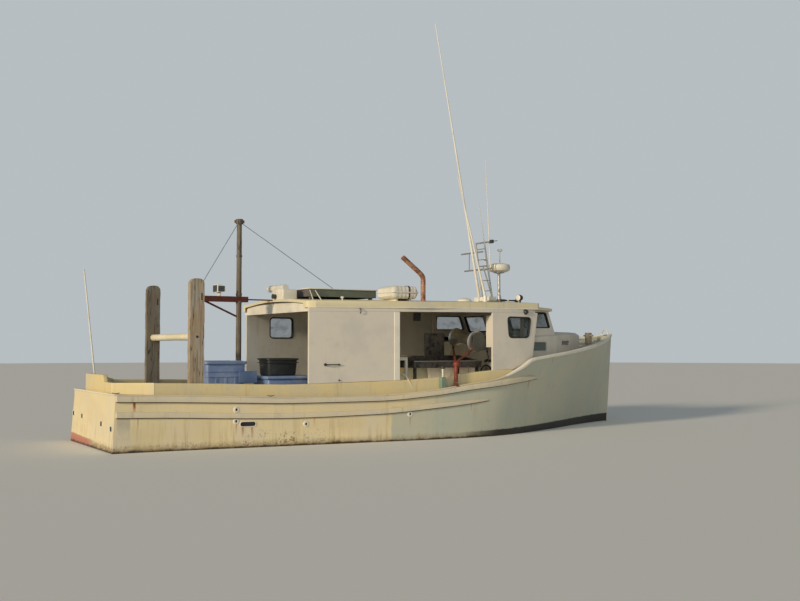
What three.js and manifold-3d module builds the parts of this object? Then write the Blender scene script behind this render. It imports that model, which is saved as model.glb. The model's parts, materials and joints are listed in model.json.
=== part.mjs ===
// Inshore fishing boat, 11.8 m long, afloat: a glass-fibre hull with a working deck aft, gallows posts at the
// stern, a hardtop wheelhouse that is open to starboard at the net hauler, and a low trunk cabin forward.
// Millimetres. x runs forward from the transom, y to port and z up from the water. The group is shifted so that
// its origin is in the waterplane, on the centreline, midway along the waterline.

import * as THREE from 'three';
import { mergeVertices } from 'three/addons/utils/BufferGeometryUtils.js';
import Module from 'manifold-3d';

const wasm = await Module();
wasm.setup();
const { Manifold, Mesh: SolidMesh } = wasm;

// Driving dimensions

const WATERLINE_LENGTH = 11550;
const STEM_TOP = { x: 11710, z: 1960 };
const STEM_RAKE = 160;
const FOREFOOT = { depth: 560, setback: 900, power: 1.5, start: 9000 };
const TRANSOM_RAKE = 0.06;
const GAP = 0.4;
const HIGH = 4000;

const DECK = 300;
const FOREDECK_DROP = 110;
const KEEL_FLAT = 70;
const WELL = { aft: 420, fore: 7880, wall: 200, skin: 90 };
const CUDDY = { fore: 9800, half: 850 };
const ENGINE_POCKET = { aft: 5300, fore: 6600, half: 430, floor: -420 };

const BULWARK = { inset: 120, thick: 80, aft: 700, fore: 7470 };
const WALL = { inset: 130, thick: 50 };
const HOUSE = { aft: 3300, open: 5010, fore: 6985, portAft: 3420 };
const HEADER = 70;
const CORNER = { foot: 7965, head: 8095 };
const WINDSCREEN = { foot: 8817, head: 8637, half: 1500, bow: 110, low: 1820, top: 2600, thick: 45 };

const POST = { x: 1410, y: 1156, width: 248, thick: 110, top: 2800 };
const ROLLER_BAR = { z: 1835, radius: 60 };
const MAST = { x: 2635, radius: 52, top: 4000 };
const DRUM = { x: 6860, z: 1768, rise: 0.13, near: -1500, far: -820, flange: 215, farFlange: 182, barrel: 100, axle: 18 };
const SHAFT = { x: 1020, z: -775 };
const RUDDER = { x: 560, top: -405, low: -1095 };

// Hull stations: x, half-breadth and height of the deck edge, half-breadth at the water, depth of the bottom,
// fullness of the bilge, and hollow of the flare above the water
const STATIONS = [
  { x: 0, edge: 1290, sheer: 905, water: 1340, bottom: -380, bilge: 3.0, flare: 1.0 },
  { x: 700, edge: 1350, sheer: 885, water: 1365, bottom: -420, bilge: 2.9, flare: 1.0 },
  { x: 1400, edge: 1430, sheer: 865, water: 1425, bottom: -460, bilge: 2.8, flare: 1.0 },
  { x: 2200, edge: 1525, sheer: 835, water: 1515, bottom: -500, bilge: 2.7, flare: 1.0 },
  { x: 3130, edge: 1640, sheer: 802, water: 1615, bottom: -540, bilge: 2.6, flare: 1.0 },
  { x: 4000, edge: 1735, sheer: 792, water: 1715, bottom: -570, bilge: 2.5, flare: 1.0 },
  { x: 4950, edge: 1840, sheer: 825, water: 1825, bottom: -600, bilge: 2.4, flare: 1.0 },
  { x: 5700, edge: 1905, sheer: 890, water: 1900, bottom: -615, bilge: 2.3, flare: 1.0 },
  { x: 6370, edge: 1955, sheer: 980, water: 1930, bottom: -620, bilge: 2.2, flare: 1.0 },
  { x: 6920, edge: 1980, sheer: 1045, water: 1890, bottom: -620, bilge: 2.1, flare: 1.1 },
  { x: 7270, edge: 1985, sheer: 1140, water: 1820, bottom: -620, bilge: 2.0, flare: 1.2 },
  { x: 7470, edge: 1982, sheer: 1225, water: 1765, bottom: -620, bilge: 2.0, flare: 1.3 },
  { x: 7640, edge: 1976, sheer: 1300, water: 1710, bottom: -618, bilge: 1.9, flare: 1.3 },
  { x: 7880, edge: 1962, sheer: 1425, water: 1620, bottom: -615, bilge: 1.9, flare: 1.4 },
  { x: 8300, edge: 1915, sheer: 1485, water: 1450, bottom: -610, bilge: 1.8, flare: 1.4 },
  { x: 8900, edge: 1790, sheer: 1552, water: 1175, bottom: -600, bilge: 1.7, flare: 1.5 },
  { x: 9500, edge: 1580, sheer: 1624, water: 890, bottom: -590, bilge: 1.6, flare: 1.5 },
  { x: 10100, edge: 1290, sheer: 1702, water: 610, bottom: -580, bilge: 1.5, flare: 1.6 },
  { x: 10650, edge: 930, sheer: 1780, water: 375, bottom: -570, bilge: 1.5, flare: 1.6 },
  { x: 11100, edge: 580, sheer: 1850, water: 205, bottom: -560, bilge: 1.5, flare: 1.6 },
  { x: 11450, edge: 270, sheer: 1912, water: 85, bottom: -560, bilge: 1.5, flare: 1.5 },
  { x: 11710, edge: 28, sheer: 1960, water: 20, bottom: -560, bilge: 1.5, flare: 1.0 },
];

// Top of the bulwark
const BULWARK_TOP = [
  { x: 700, z: 1090 },
  { x: 2160, z: 1050 },
  { x: 3030, z: 1030 },
  { x: 3850, z: 1045 },
  { x: 4960, z: 1070 },
  { x: 5750, z: 1115 },
  { x: 6420, z: 1185 },
  { x: 7120, z: 1235 },
  { x: 7470, z: 1240 },
];

// Rubbing guards: underside, height and how far they stand out
const UPPER_GUARD = [
  { x: 60, z: 805, tall: 95, out: 55 },
  { x: 1000, z: 780, tall: 96, out: 55 },
  { x: 2000, z: 748, tall: 92, out: 55 },
  { x: 3000, z: 720, tall: 82, out: 55 },
  { x: 4460, z: 722, tall: 80, out: 55 },
  { x: 5700, z: 800, tall: 85, out: 55 },
  { x: 6370, z: 880, tall: 92, out: 55 },
  { x: 7080, z: 965, tall: 95, out: 55 },
  { x: 7600, z: 1045, tall: 75, out: 45 },
  { x: 7930, z: 1095, tall: 30, out: 8 },
];
const LOWER_GUARD = [
  { x: 60, z: 555, tall: 90, out: 45 },
  { x: 1000, z: 530, tall: 88, out: 45 },
  { x: 2000, z: 492, tall: 85, out: 45 },
  { x: 3000, z: 470, tall: 82, out: 45 },
  { x: 4460, z: 490, tall: 80, out: 45 },
  { x: 5700, z: 570, tall: 78, out: 45 },
  { x: 6400, z: 630, tall: 60, out: 35 },
  { x: 6810, z: 672, tall: 24, out: 8 },
];

// Roof: half-breadth, top edge and depth of the edge
const ROOF = [
  { x: 3300, half: 1400, top: 2470, deep: 118 },
  { x: 3335, half: 1475, top: 2471, deep: 118 },
  { x: 3420, half: 1535, top: 2472, deep: 118 },
  { x: 5600, half: 1790, top: 2492, deep: 118 },
  { x: 8080, half: 1850, top: 2516, deep: 118 },
  { x: 8120, half: 1835, top: 2514, deep: 116 },
  { x: 8150, half: 1680, top: 2455, deep: 58 },
  { x: 8560, half: 1620, top: 2432, deep: 48 },
  { x: 8680, half: 1560, top: 2426, deep: 46 },
  { x: 8790, half: 1150, top: 2422, deep: 46 },
  { x: 8820, half: 700, top: 2420, deep: 46 },
];
const ROOF_CAMBER = 75;
const ROOF_THICK = 50;

// Trunk cabin: half-breadth of the side and height of its top edge
const TRUNK = [
  { x: 7885, half: 1625, top: 1840 },
  { x: 8300, half: 1600, top: 1868 },
  { x: 8820, half: 1525, top: 1902 },
  { x: 9200, half: 1345, top: 1911 },
  { x: 9600, half: 1130, top: 1914 },
  { x: 10000, half: 880, top: 1905 },
];
const TRUNK_SHOULDER = { inset: 130, rise: 55 };
const TRUNK_CAMBER = 90;

// Finishes: colour, roughness, metalness
const FINISH = {
  cream: [0xe6d5a8, 0.55, 0],
  white: [0xdfdccf, 0.55, 0],
  wood: [0x9c8a70, 0.85, 0],
  rust: [0x7a3b22, 0.8, 0.3],
  steel: [0xa9a294, 0.3, 0.9],
  dark: [0x2b2c2e, 0.6, 0],
  blue: [0x3f5f96, 0.5, 0],
  bronze: [0xb08d57, 0.35, 0.9],
  bottom: [0x6d2f24, 0.8, 0],
  gloss: [0xf1eee4, 0.35, 0],
};

const boat = new THREE.Group();
boat.position.x = -WATERLINE_LENGTH / 2;

// Helpers

const lerp = THREE.MathUtils.lerp;
const smooth = THREE.MathUtils.smoothstep;

function along(table, column, x) {
  const next = table.findIndex((row) => row.x >= x);
  if (next === 0) return table[0][column];
  if (next < 0) return table[table.length - 1][column];
  const low = table[next - 1];
  const high = table[next];
  return lerp(low[column], high[column], (x - low.x) / (high.x - low.x));
}

const edge = (x) => along(STATIONS, 'edge', x);
const sheer = (x) => along(STATIONS, 'sheer', x);

// Every x between two limits where one of the tables has a row, with the limits themselves
function ribs(from, to, ...tables) {
  const marks = tables.flat().map((row) => row.x).filter((x) => x > from + 20 && x < to - 20);
  return [from, ...new Set(marks), to].sort((a, b) => a - b);
}

function geometryFrom(points, faces) {
  const geometry = new THREE.BufferGeometry();
  geometry.setAttribute('position', new THREE.Float32BufferAttribute(points.flat(), 3));
  geometry.setIndex(faces.flat());
  return geometry;
}

function signedVolume(points, faces) {
  const corner = (i) => new THREE.Vector3(...points[i]);
  return faces.reduce((sum, [a, b, c]) => sum + corner(a).dot(corner(b).cross(corner(c))) / 6, 0);
}

function solid(geometry) {
  const bare = geometry.clone();
  bare.deleteAttribute('normal');
  bare.deleteAttribute('uv');
  const merged = mergeVertices(bare, 1e-3);
  return new Manifold(new SolidMesh({
    numProp: 3,
    vertProperties: merged.attributes.position.array,
    triVerts: new Uint32Array(merged.index.array),
  }));
}

// A closed body through loops of [x, y, z] points, each end closed with a fan about its middle
function loft(loops) {
  const count = loops[0].length;
  const points = loops.flat();
  const faces = [];
  for (let s = 0; s < loops.length - 1; s++) {
    for (let i = 0; i < count; i++) {
      const a = s * count + i;
      const b = s * count + ((i + 1) % count);
      faces.push([a, b, b + count], [a, b + count, a + count]);
    }
  }
  const lastStart = (loops.length - 1) * count;
  for (const [loop, start, turn] of [[loops[0], 0, 1], [loops[loops.length - 1], lastStart, 0]]) {
    const middle = points.length;
    points.push([0, 1, 2].map((axis) => loop.reduce((sum, p) => sum + p[axis], 0) / count));
    for (let i = 0; i < count; i++) {
      const pair = [start + i, start + ((i + 1) % count)];
      faces.push([middle, pair[turn], pair[1 - turn]]);
    }
  }
  const outward = signedVolume(points, faces) > 0;
  return solid(geometryFrom(points, outward ? faces : faces.map(([a, b, c]) => [a, c, b])));
}

function block(x0, x1, y0, y1, z0, z1) {
  const box = new THREE.BoxGeometry(x1 - x0, y1 - y0, z1 - z0);
  return solid(box.translate((x0 + x1) / 2, (y0 + y1) / 2, (z0 + z1) / 2));
}

function rod(from, to, radius, endRadius = radius, sides = 12) {
  const start = new THREE.Vector3(...from);
  const end = new THREE.Vector3(...to);
  const length = start.distanceTo(end);
  const cylinder = new THREE.CylinderGeometry(endRadius, radius, length, sides).translate(0, length / 2, 0);
  const turn = new THREE.Quaternion().setFromUnitVectors(
    new THREE.Vector3(0, 1, 0), end.clone().sub(start).normalize());
  return solid(cylinder.applyQuaternion(turn).translate(...from));
}

function ball(centre, radius, squash = 1, sides = 16) {
  const sphere = new THREE.SphereGeometry(radius, sides, sides / 2).rotateX(Math.PI / 2).scale(1, 1, squash);
  return solid(sphere.translate(...centre));
}

function turned(profile, sides = 20) {
  const points = profile.map(([radius, height]) => new THREE.Vector2(radius, height));
  return solid(new THREE.LatheGeometry(points, sides).rotateX(Math.PI / 2));
}

// A plate in the xz plane between two values of y, from an outline of [x, z] points
function plateXZ(outline, y0, y1) {
  return loft([y0, y1].map((y) => outline.map(([x, z]) => [x, y, z])));
}

// Outline of a rectangle with round corners
function roundedOutline(x0, x1, z0, z1, radius, steps = 4) {
  const corners = [[x1 - radius, z1 - radius], [x0 + radius, z1 - radius], [x0 + radius, z0 + radius],
    [x1 - radius, z0 + radius]];
  return corners.flatMap(([cx, cz], quarter) => Array.from({ length: steps + 1 }, (_, i) => {
    const angle = (quarter + i / steps) * Math.PI / 2;
    return [cx + radius * Math.cos(angle), cz + radius * Math.sin(angle)];
  }));
}

function joined(...pieces) {
  return Manifold.union(pieces);
}

// A piece with a neighbour cut out of it and then moved off by the seating gap
function seated(piece, neighbour, dx, dy, dz) {
  return piece.subtract(neighbour).translate([dx * GAP, dy * GAP, dz * GAP]);
}

// A piece cut short by a neighbour, with the seating gap between them
function clearOf(piece, neighbour, dx, dy, dz) {
  return piece.subtract(neighbour.translate([dx * GAP, dy * GAP, dz * GAP]));
}

function node(name, body, finish) {
  const { vertProperties, triVerts } = body.getMesh();
  const geometry = new THREE.BufferGeometry();
  geometry.setAttribute('position', new THREE.Float32BufferAttribute(vertProperties, 3));
  geometry.setIndex(Array.from(triVerts));
  geometry.computeVertexNormals();
  const [color, roughness, metalness] = FINISH[finish];
  const mesh = new THREE.Mesh(geometry, new THREE.MeshStandardMaterial({ color, roughness, metalness }));
  mesh.name = name;
  boat.add(mesh);
}

// Hull

const BILGE_STEPS = 6;
const TOPSIDE_STEPS = 4;

function stemSetback(x, z) {
  const above = STEM_RAKE * (1 - z / STEM_TOP.z);
  const below = z < 0 ? FOREFOOT.setback * (-z / FOREFOOT.depth) ** FOREFOOT.power : 0;
  return -(above + below) * smooth(x, FOREFOOT.start, STEM_TOP.x);
}

function transomSetback(x, z) {
  return z * TRANSOM_RAKE * (1 - smooth(x, 0, 600));
}

function topsideHalf(row, t) {
  return lerp(row.water, row.edge, t ** row.flare);
}

function hullLoop(row) {
  const flat = Math.min(KEEL_FLAT, 0.7 * row.water);
  const half = [];
  for (let i = 0; i <= BILGE_STEPS; i++) {
    const angle = i / BILGE_STEPS * Math.PI / 2;
    const across = Math.sin(angle) ** (2 / row.bilge);
    const down = Math.max(Math.cos(angle), 0) ** (2 / row.bilge);
    half.push([lerp(flat, row.water, across), i === BILGE_STEPS ? 0 : row.bottom * down]);
  }
  for (let i = 1; i <= TOPSIDE_STEPS; i++) {
    const t = i / TOPSIDE_STEPS;
    half.push([topsideHalf(row, t), row.sheer * t]);
  }
  const place = (y, z) => [row.x + stemSetback(row.x, z) + transomSetback(row.x, z), y, z];
  return [...half.map(([y, z]) => place(-y, z)), ...half.reverse().map(([y, z]) => place(y, z))];
}

// Half-breadth of the topside at a height above the water
function skin(x, z) {
  const next = Math.max(STATIONS.findIndex((row) => row.x >= x), 1);
  const [low, high] = [STATIONS[next - 1], STATIONS[next]];
  const t = Math.min(z / sheer(x), 1) * TOPSIDE_STEPS;
  const step = Math.min(Math.floor(t), TOPSIDE_STEPS - 1);
  const at = (row) => lerp(
    topsideHalf(row, step / TOPSIDE_STEPS), topsideHalf(row, (step + 1) / TOPSIDE_STEPS), t - step);
  return lerp(at(low), at(high), (x - low.x) / (high.x - low.x));
}

// An open-topped space between two stations: floor half-breadth and height, and half-breadth at the rim
function well(stations, floorHalf, floor, rimHalf, rim) {
  return loft(stations.map((x) => {
    const side = [[floorHalf(x), floor(x)], [rimHalf(x), rim(x)], [rimHalf(x), HIGH]];
    return [...side.map(([y, z]) => [x, -y, z]), ...side.reverse().map(([y, z]) => [x, y, z])];
  }));
}

function buildHull() {
  const outside = loft(STATIONS.map(hullLoop));
  const deckWell = well(
    ribs(WELL.aft, WELL.fore, STATIONS),
    (x) => Math.min(edge(x) - WELL.wall, skin(x, DECK) - WELL.skin), () => DECK,
    (x) => edge(x) - WELL.wall, (x) => sheer(x) - 150);
  const foredeckWell = well(
    ribs(WELL.fore - 10, 11450, STATIONS),
    (x) => skin(x, sheer(x) - FOREDECK_DROP) - 60, (x) => sheer(x) - FOREDECK_DROP,
    (x) => edge(x) - 60, sheer);
  const cuddyWell = well(
    ribs(WELL.fore - 10, CUDDY.fore, STATIONS),
    (x) => Math.min(CUDDY.half, skin(x, DECK) - WELL.skin), () => DECK,
    (x) => Math.min(CUDDY.half, skin(x, DECK) - WELL.skin + 60), () => 1000);
  const pocket = block(ENGINE_POCKET.aft, ENGINE_POCKET.fore, -ENGINE_POCKET.half, ENGINE_POCKET.half,
    ENGINE_POCKET.floor, DECK + 1);
  return { outside, hull: outside.subtract(joined(deckWell, foredeckWell, cuddyWell, pocket)) };
}

function buildKeel(outside) {
  const profile = [[1350, -300], [1350, -720], [1180, -740], [1180, -810], [1350, -830], [1350, -1100],
    [380, -1100], [380, -1160], [1600, -1160], [9300, -960], [10350, -640], [10600, -450]];
  const blade = solid(new THREE.ExtrudeGeometry(
    new THREE.Shape(profile.map(([x, z]) => new THREE.Vector2(x, z))), { depth: 120, bevelEnabled: false },
  ).rotateX(Math.PI / 2).translate(0, 60, 0));
  const tube = rod([1180, 0, SHAFT.z], [1700, 0, SHAFT.z], 62);
  return seated(joined(blade, tube), outside, 0, 0, -1);
}

function buildRudder() {
  const outline = [[RUDDER.x - 330, RUDDER.low + 60], [RUDDER.x - 300, RUDDER.low + 10],
    [RUDDER.x + 150, RUDDER.low + 10], [RUDDER.x + 130, RUDDER.top - 80], [RUDDER.x - 270, RUDDER.top - 80]];
  const stock = rod([RUDDER.x, 0, RUDDER.low - 5 + GAP], [RUDDER.x, 0, RUDDER.top - 8.9], 28);
  return joined(plateXZ(outline, -16, 16), stock);
}

function buildPropeller() {
  const hub = rod([SHAFT.x - 90, 0, SHAFT.z], [SHAFT.x + 90, 0, SHAFT.z], 38, 50);
  const cone = rod([SHAFT.x - 150, 0, SHAFT.z], [SHAFT.x - 90, 0, SHAFT.z], 14, 38);
  const shaft = rod([SHAFT.x + 60, 0, SHAFT.z], [1180 - GAP, 0, SHAFT.z], 25);
  // Blade sections: radius, chord, pitch in degrees, thickness
  const sections = [[30, 90, 62, 26], [120, 190, 44, 18], [210, 215, 33, 12], [262, 130, 28, 6]];
  const blade = loft(sections.map(([radius, chord, pitch, thick]) => {
    const lean = THREE.MathUtils.degToRad(pitch);
    const corners = [[-chord / 2, 0], [0, thick / 2], [chord / 2, 0], [0, -thick / 2]];
    return corners.map(([c, t]) => [
      c * Math.sin(lean) + t * Math.cos(lean), c * Math.cos(lean) - t * Math.sin(lean), radius]);
  }));
  const blades = [0, 90, 180, 270].map((angle) => blade.rotate([angle, 0, 0]).translate([SHAFT.x, 0, SHAFT.z]));
  return joined(hub, cone, shaft, ...blades);
}

function buildGuard(table, side, hull) {
  const stations = ribs(table[0].x, table[table.length - 1].x, STATIONS, table);
  const strip = loft(stations.map((x) => {
    const z = along(table, 'z', x);
    const tall = Math.min(along(table, 'tall', x), sheer(x) - 2 - z);
    const out = along(table, 'out', x);
    const low = skin(x, z);
    const high = skin(x, z + tall);
    return [[low - 25, z], [low + out, z + 0.15 * tall], [high + out, z + 0.85 * tall], [high - 25, z + tall]]
      .map(([y, height]) => [x, side * y, height]);
  }));
  return seated(strip, hull, 0, 2 * side, 0);
}

// Bulwarks and walls that follow the edge of the deck

function sideWall(side, stations, inset, thick, low, high) {
  return loft(stations.map((x) => {
    const outer = side * (edge(x) - inset);
    const inner = side * (edge(x) - inset - thick);
    return [[x, outer, low(x)], [x, outer, high(x)], [x, inner, high(x)], [x, inner, low(x)]];
  }));
}

const bulwarkTop = (x) => along(BULWARK_TOP, 'z', x);
const onDeckEdge = (x) => sheer(x) + GAP;
const onBulwark = (x) => (x <= BULWARK.fore ? Math.max(bulwarkTop(x), sheer(x)) : sheer(x)) + GAP;
const roofUnder = (x) => along(ROOF, 'top', x) - along(ROOF, 'deep', x) - GAP;

function buildBulwark(side) {
  const stations = ribs(BULWARK.aft + GAP, BULWARK.fore, STATIONS, BULWARK_TOP);
  return sideWall(side, stations, BULWARK.inset, BULWARK.thick, onDeckEdge, bulwarkTop);
}

function buildSternBulwark(outside) {
  const cornerOuter = edge(BULWARK.aft) - BULWARK.inset;
  // Plan points of the outer and inner faces from starboard to port, and the top
  const rows = [
    { outer: [BULWARK.aft, -cornerOuter], inner: [BULWARK.aft, -cornerOuter + BULWARK.thick], top: 1090 },
    { outer: [130, -760], inner: [210, -730], top: 1085 },
    { outer: [130, -290], inner: [210, -290], top: 1090 },
    { outer: [130, -230], inner: [210, -230], top: 1205 },
    { outer: [130, 860], inner: [210, 820], top: 1205 },
    { outer: [280, 1060], inner: [330, 1000], top: 1200 },
    { outer: [BULWARK.aft, cornerOuter], inner: [BULWARK.aft, cornerOuter - BULWARK.thick], top: 1090 },
  ];
  const wall = loft(rows.map(({ outer, inner, top }) => [
    [...outer, sheer(outer[0]) - 20], [...outer, top], [...inner, top], [...inner, sheer(inner[0]) - 20]]));
  return seated(wall, outside, 0, 0, 1);
}

// Wheelhouse

function windowCut(outline) {
  return plateXZ(outline, -3000, 3000);
}

function buildAftPanel() {
  const stations = ribs(HOUSE.aft, HOUSE.open, STATIONS, BULWARK_TOP, ROOF);
  return sideWall(-1, stations, WALL.inset, WALL.thick, onBulwark, (x) => roofUnder(x) - HEADER - GAP);
}

// Front end of a side wall, which leans forward above the foredeck
function wallCorner(side, high) {
  const outer = edge(WELL.fore) - WALL.inset;
  const section = (footX, headX, draw) => {
    const [out, into] = [side * (outer - draw), side * (outer - draw - WALL.thick)];
    return [[footX, out, sheer(footX) + GAP], [headX, out, high(headX)], [headX, into, high(headX)],
      [footX, into, sheer(footX) + GAP]];
  };
  return loft([section(WELL.fore, WELL.fore, 0), section(CORNER.foot, CORNER.head, 8)]);
}

function buildForwardPanel() {
  const stations = ribs(HOUSE.fore, 7880, STATIONS, BULWARK_TOP, ROOF);
  const high = (x) => roofUnder(x) - HEADER - GAP;
  const strip = sideWall(-1, stations, WALL.inset, WALL.thick, onBulwark, high);
  const corners = [[7370, 1838], [7865, 1843], [7925, 2237], [7332, 2242]];
  const pane = corners.flatMap(([x, z], i) => {
    const [px, pz] = corners[(i + 3) % 4];
    const [nx, nz] = corners[(i + 1) % 4];
    const back = Math.hypot(px - x, pz - z);
    const ahead = Math.hypot(nx - x, nz - z);
    return [[x + (px - x) * 60 / back, z + (pz - z) * 60 / back], [x + (nx - x) * 60 / ahead, z + (nz - z) * 60 / ahead]];
  });
  const flange = block(HOUSE.fore, HOUSE.fore + 40, -1815, -1640, 1660, 2260);
  return joined(strip, wallCorner(-1, high), flange).subtract(windowCut(pane));
}

function buildHeader() {
  const stations = ribs(HOUSE.aft, 8050, STATIONS, ROOF);
  return sideWall(-1, stations, WALL.inset + 5, WALL.thick, (x) => roofUnder(x) - HEADER, roofUnder);
}

function buildPortWall() {
  const stations = ribs(HOUSE.portAft, 7880, STATIONS, BULWARK_TOP, ROOF);
  const wall = sideWall(1, stations, WALL.inset, WALL.thick, onBulwark, roofUnder);
  const panes = [[3940, 4490, 1840, 2260], [5560, 6110, 1840, 2260]]
    .map(([x0, x1, z0, z1]) => windowCut(roundedOutline(x0, x1, z0, z1, 70)));
  return joined(wall, wallCorner(1, roofUnder)).subtract(joined(...panes));
}

function cambered(row, share) {
  return row.top + ROOF_CAMBER * (1 - share * share);
}

function buildRoof() {
  const shares = [-1, -0.94, -0.6, -0.3, 0, 0.3, 0.6, 0.94, 1];
  const slab = loft(ROOF.map((row) => [
    ...shares.map((share) => [row.x, share * row.half, cambered(row, share)]),
    ...shares.toReversed().map((share) => [row.x, share * row.half, cambered(row, share) - ROOF_THICK])]));
  const lips = [-1, 1].map((side) => loft(ROOF.map((row) => [
    [row.x, side * row.half, row.top - 1], [row.x, side * row.half, row.top - row.deep],
    [row.x, side * (row.half - 110), row.top - row.deep], [row.x, side * (row.half - 110), row.top - 1]])));
  return joined(slab, ...lips);
}

// All that lies below the roof's underside, carried on past its edges
function belowRoof() {
  const shares = [-1, -0.6, -0.3, 0, 0.3, 0.6, 1];
  const beyond = { ...ROOF[ROOF.length - 1], x: 9500 };
  return loft([...ROOF, beyond].map((row) => {
    const under = shares.map((share) => [row.x, share * row.half, cambered(row, share) - ROOF_THICK - GAP]);
    const level = under[0][2];
    return [[row.x, -HIGH, 0], [row.x, -HIGH, level], ...under, [row.x, HIGH, level], [row.x, HIGH, 0]];
  }));
}

// A piece cut to fit up against the roof and between its lips
function underRoof(piece, roof) {
  return clearOf(clearOf(piece, roof, 0, 1, -1), roof, 0, -1, -1);
}

function buildAftBeam(roof) {
  const x = ROOF[1].x + 10;
  return underRoof(block(x, x + 50, -1400, 1400, 2285, 2400), roof);
}

function buildTrunk(hull) {
  const shell = (drop, forward) => loft(TRUNK.map(({ x, half, top }) => {
    const side = [[half - drop, 1150], [half - drop, top - drop],
      [half - TRUNK_SHOULDER.inset, top + TRUNK_SHOULDER.rise - drop]];
    return [...side.map(([y, z]) => [x + forward, -y, z]), [x + forward, 0, top + TRUNK_CAMBER - drop],
      ...side.reverse().map(([y, z]) => [x + forward, y, z])];
  }));
  const panes = [[8110, 8540, 1575, 1775], [9000, 9410, 1690, 1805]]
    .map(([x0, x1, z0, z1]) => windowCut(roundedOutline(x0, x1, z0, z1, 50)));
  const outside = shell(0, 0);
  const trunk = outside.subtract(joined(shell(45, -45), ...panes));
  return { outside, trunk: seated(trunk, hull, 0, 0, 1) };
}

// The wheelhouse front: side walls that carry on from the trunk cabin, and a raked, bowed windscreen
function buildBridgeFront(trunkOutside, roof) {
  const { foot, head, half, bow, low, top, thick } = WINDSCREEN;
  const rake = (foot - head) / (2360 - 1880);
  const corner = (z) => foot - rake * (z - 1880);
  const loop = (z, draw) => {
    const side = [[TRUNK[0].x - draw, 1600], [corner(z), half], [corner(z) + bow, 720]]
      .map(([x, y]) => [x - draw, y - draw]);
    return [...side.map(([x, y]) => [x, -y, z]), ...side.reverse().map(([x, y]) => [x, y, z])];
  };
  const shell = loft([loop(low, 0), loop(top, 0)]).subtract(loft([loop(low - 10, thick), loop(top + 10, thick)]));
  const quarter = windowCut([[7960, 2045], [corner(2045) - 90, 2045], [corner(2350) - 80, 2350], [7960, 2350]]);
  const panes = [[-1400, -800, 2000], [-640, -40, 2030], [40, 640, 2030], [800, 1400, 2000]]
    .map(([y0, y1, sill]) => block(corner(2400) - 100, 9300, y0, y1, sill, 2345));
  const walls = seated(shell.subtract(joined(quarter, ...panes)), trunkOutside, 0, 0, 2);
  return underRoof(walls.intersect(belowRoof()), roof);
}

function buildFrontWall(side, hull) {
  const loop = (x, z, reach) => [[x, 1634, z], [x, reach, z], [x + 45, reach - 4, z], [x + 45, 1634, z]]
    .map(([px, y, pz]) => [px, side * y, pz]);
  const wall = loft([loop(7885, 1150, 1776), loop(8012, roofUnder(8012), 1755)]);
  return seated(wall, hull, 0, 0, 1);
}

function buildBulkhead() {
  const half = [[1560, DECK], [1715, 1250], [1715, 1780]];
  const outline = [...half.map(([y, z]) => [-y, z]), ...half.toReversed()];
  const wall = loft([7820, 7880 - GAP].map((x) => outline.map(([y, z]) => [x, y, z])));
  return wall.subtract(block(7700, 7900, 100, 700, DECK + 30, 1740));
}

function buildCompanionDoor() {
  return block(7790, 7819.5, 90, 708, DECK + 20, 1760);
}

function buildConsole() {
  const outline = [[7480, DECK], [7815, DECK], [7815, 1420], [7640, 1420], [7480, 1300]];
  return plateXZ(outline, -1400, -700);
}

function buildHelmWheel() {
  const rim = solid(new THREE.TorusGeometry(190, 14, 8, 28)).rotate([0, 90, 0]);
  const spokes = [0, 120, 240].map((angle) => rod([0, 0, 0], [0, 0, 190], 9).rotate([angle, 0, 0]));
  const hub = rod([-20, 0, 0], [62 - GAP, 0, 0], 34);
  return joined(rim, hub, ...spokes).translate([7418, -1050, 1120]);
}

// Deck gear

function buildEngine() {
  return block(5360, 6540, -340, 340, ENGINE_POCKET.floor + GAP, 230);
}

function buildEngineHatch() {
  return joined(block(5260, 6640, -470, 470, DECK + GAP, DECK + 40));
}

function buildGallowsPost(side) {
  const half = POST.width / 2;
  const arc = Array.from({ length: 9 }, (_, i) => {
    const angle = i / 8 * Math.PI;
    return [POST.x + half * Math.cos(angle), POST.top - half + half * Math.sin(angle)];
  });
  const outline = [...arc, [POST.x - half, DECK], [POST.x + half, DECK]];
  const inner = side * (POST.y - POST.thick / 2);
  const outer = side * (POST.y + POST.thick / 2);
  const socket = rod([POST.x, side * (POST.y - 200), ROLLER_BAR.z], [POST.x, side * (POST.y + 200), ROLLER_BAR.z], 21, 21, 16);
  return plateXZ(outline, Math.min(inner, outer), Math.max(inner, outer)).subtract(socket);
}

function buildGallowsRoller() {
  const reach = POST.y - POST.thick / 2 - 6;
  const bar = rod([POST.x, -reach, ROLLER_BAR.z], [POST.x, reach, ROLLER_BAR.z], ROLLER_BAR.radius, ROLLER_BAR.radius, 20);
  const pins = rod([POST.x, -POST.y - 60, ROLLER_BAR.z], [POST.x, POST.y + 60, ROLLER_BAR.z], 20, 20, 16);
  return joined(bar, pins);
}

function buildDerrick() {
  const mast = rod([MAST.x, 0, DECK], [MAST.x, 0, MAST.top - 60], MAST.radius, MAST.radius - 6, 16);
  const cap = joined(
    rod([MAST.x, 0, MAST.top - 90], [MAST.x, 0, MAST.top], 66, 66, 16),
    block(MAST.x - 95, MAST.x + 95, -14, 14, MAST.top - 80, MAST.top - 20));
  const beam = block(1900, ROOF[0].x - GAP, -50, 50, 2480, 2580);
  const strut = rod([MAST.x, 0, 2200], [1960, 0, 2500], 18);
  return joined(mast, cap, beam, strut);
}

function buildFloodlight() {
  return joined(block(2180, 2330, -110, 110, 2620, 2790), block(2230, 2280, -30, 30, 2580 + GAP, 2640));
}

function buildStay(from, to) {
  return rod(from, to, 6, 6, 8);
}

function buildTub() {
  const tub = loft([[1740, -820, 0], [1700, -860, 1130]].map(([x, y, z]) => {
    const grow = 1740 - x;
    return [[x, y, DECK + z], [2400 + grow, y, DECK + z], [2400 + grow, -300 + grow, DECK + z], [x, -300 + grow, DECK + z]];
  }));
  return tub.subtract(block(1760, 2380, -800, -320, 1000, 2000));
}

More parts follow.
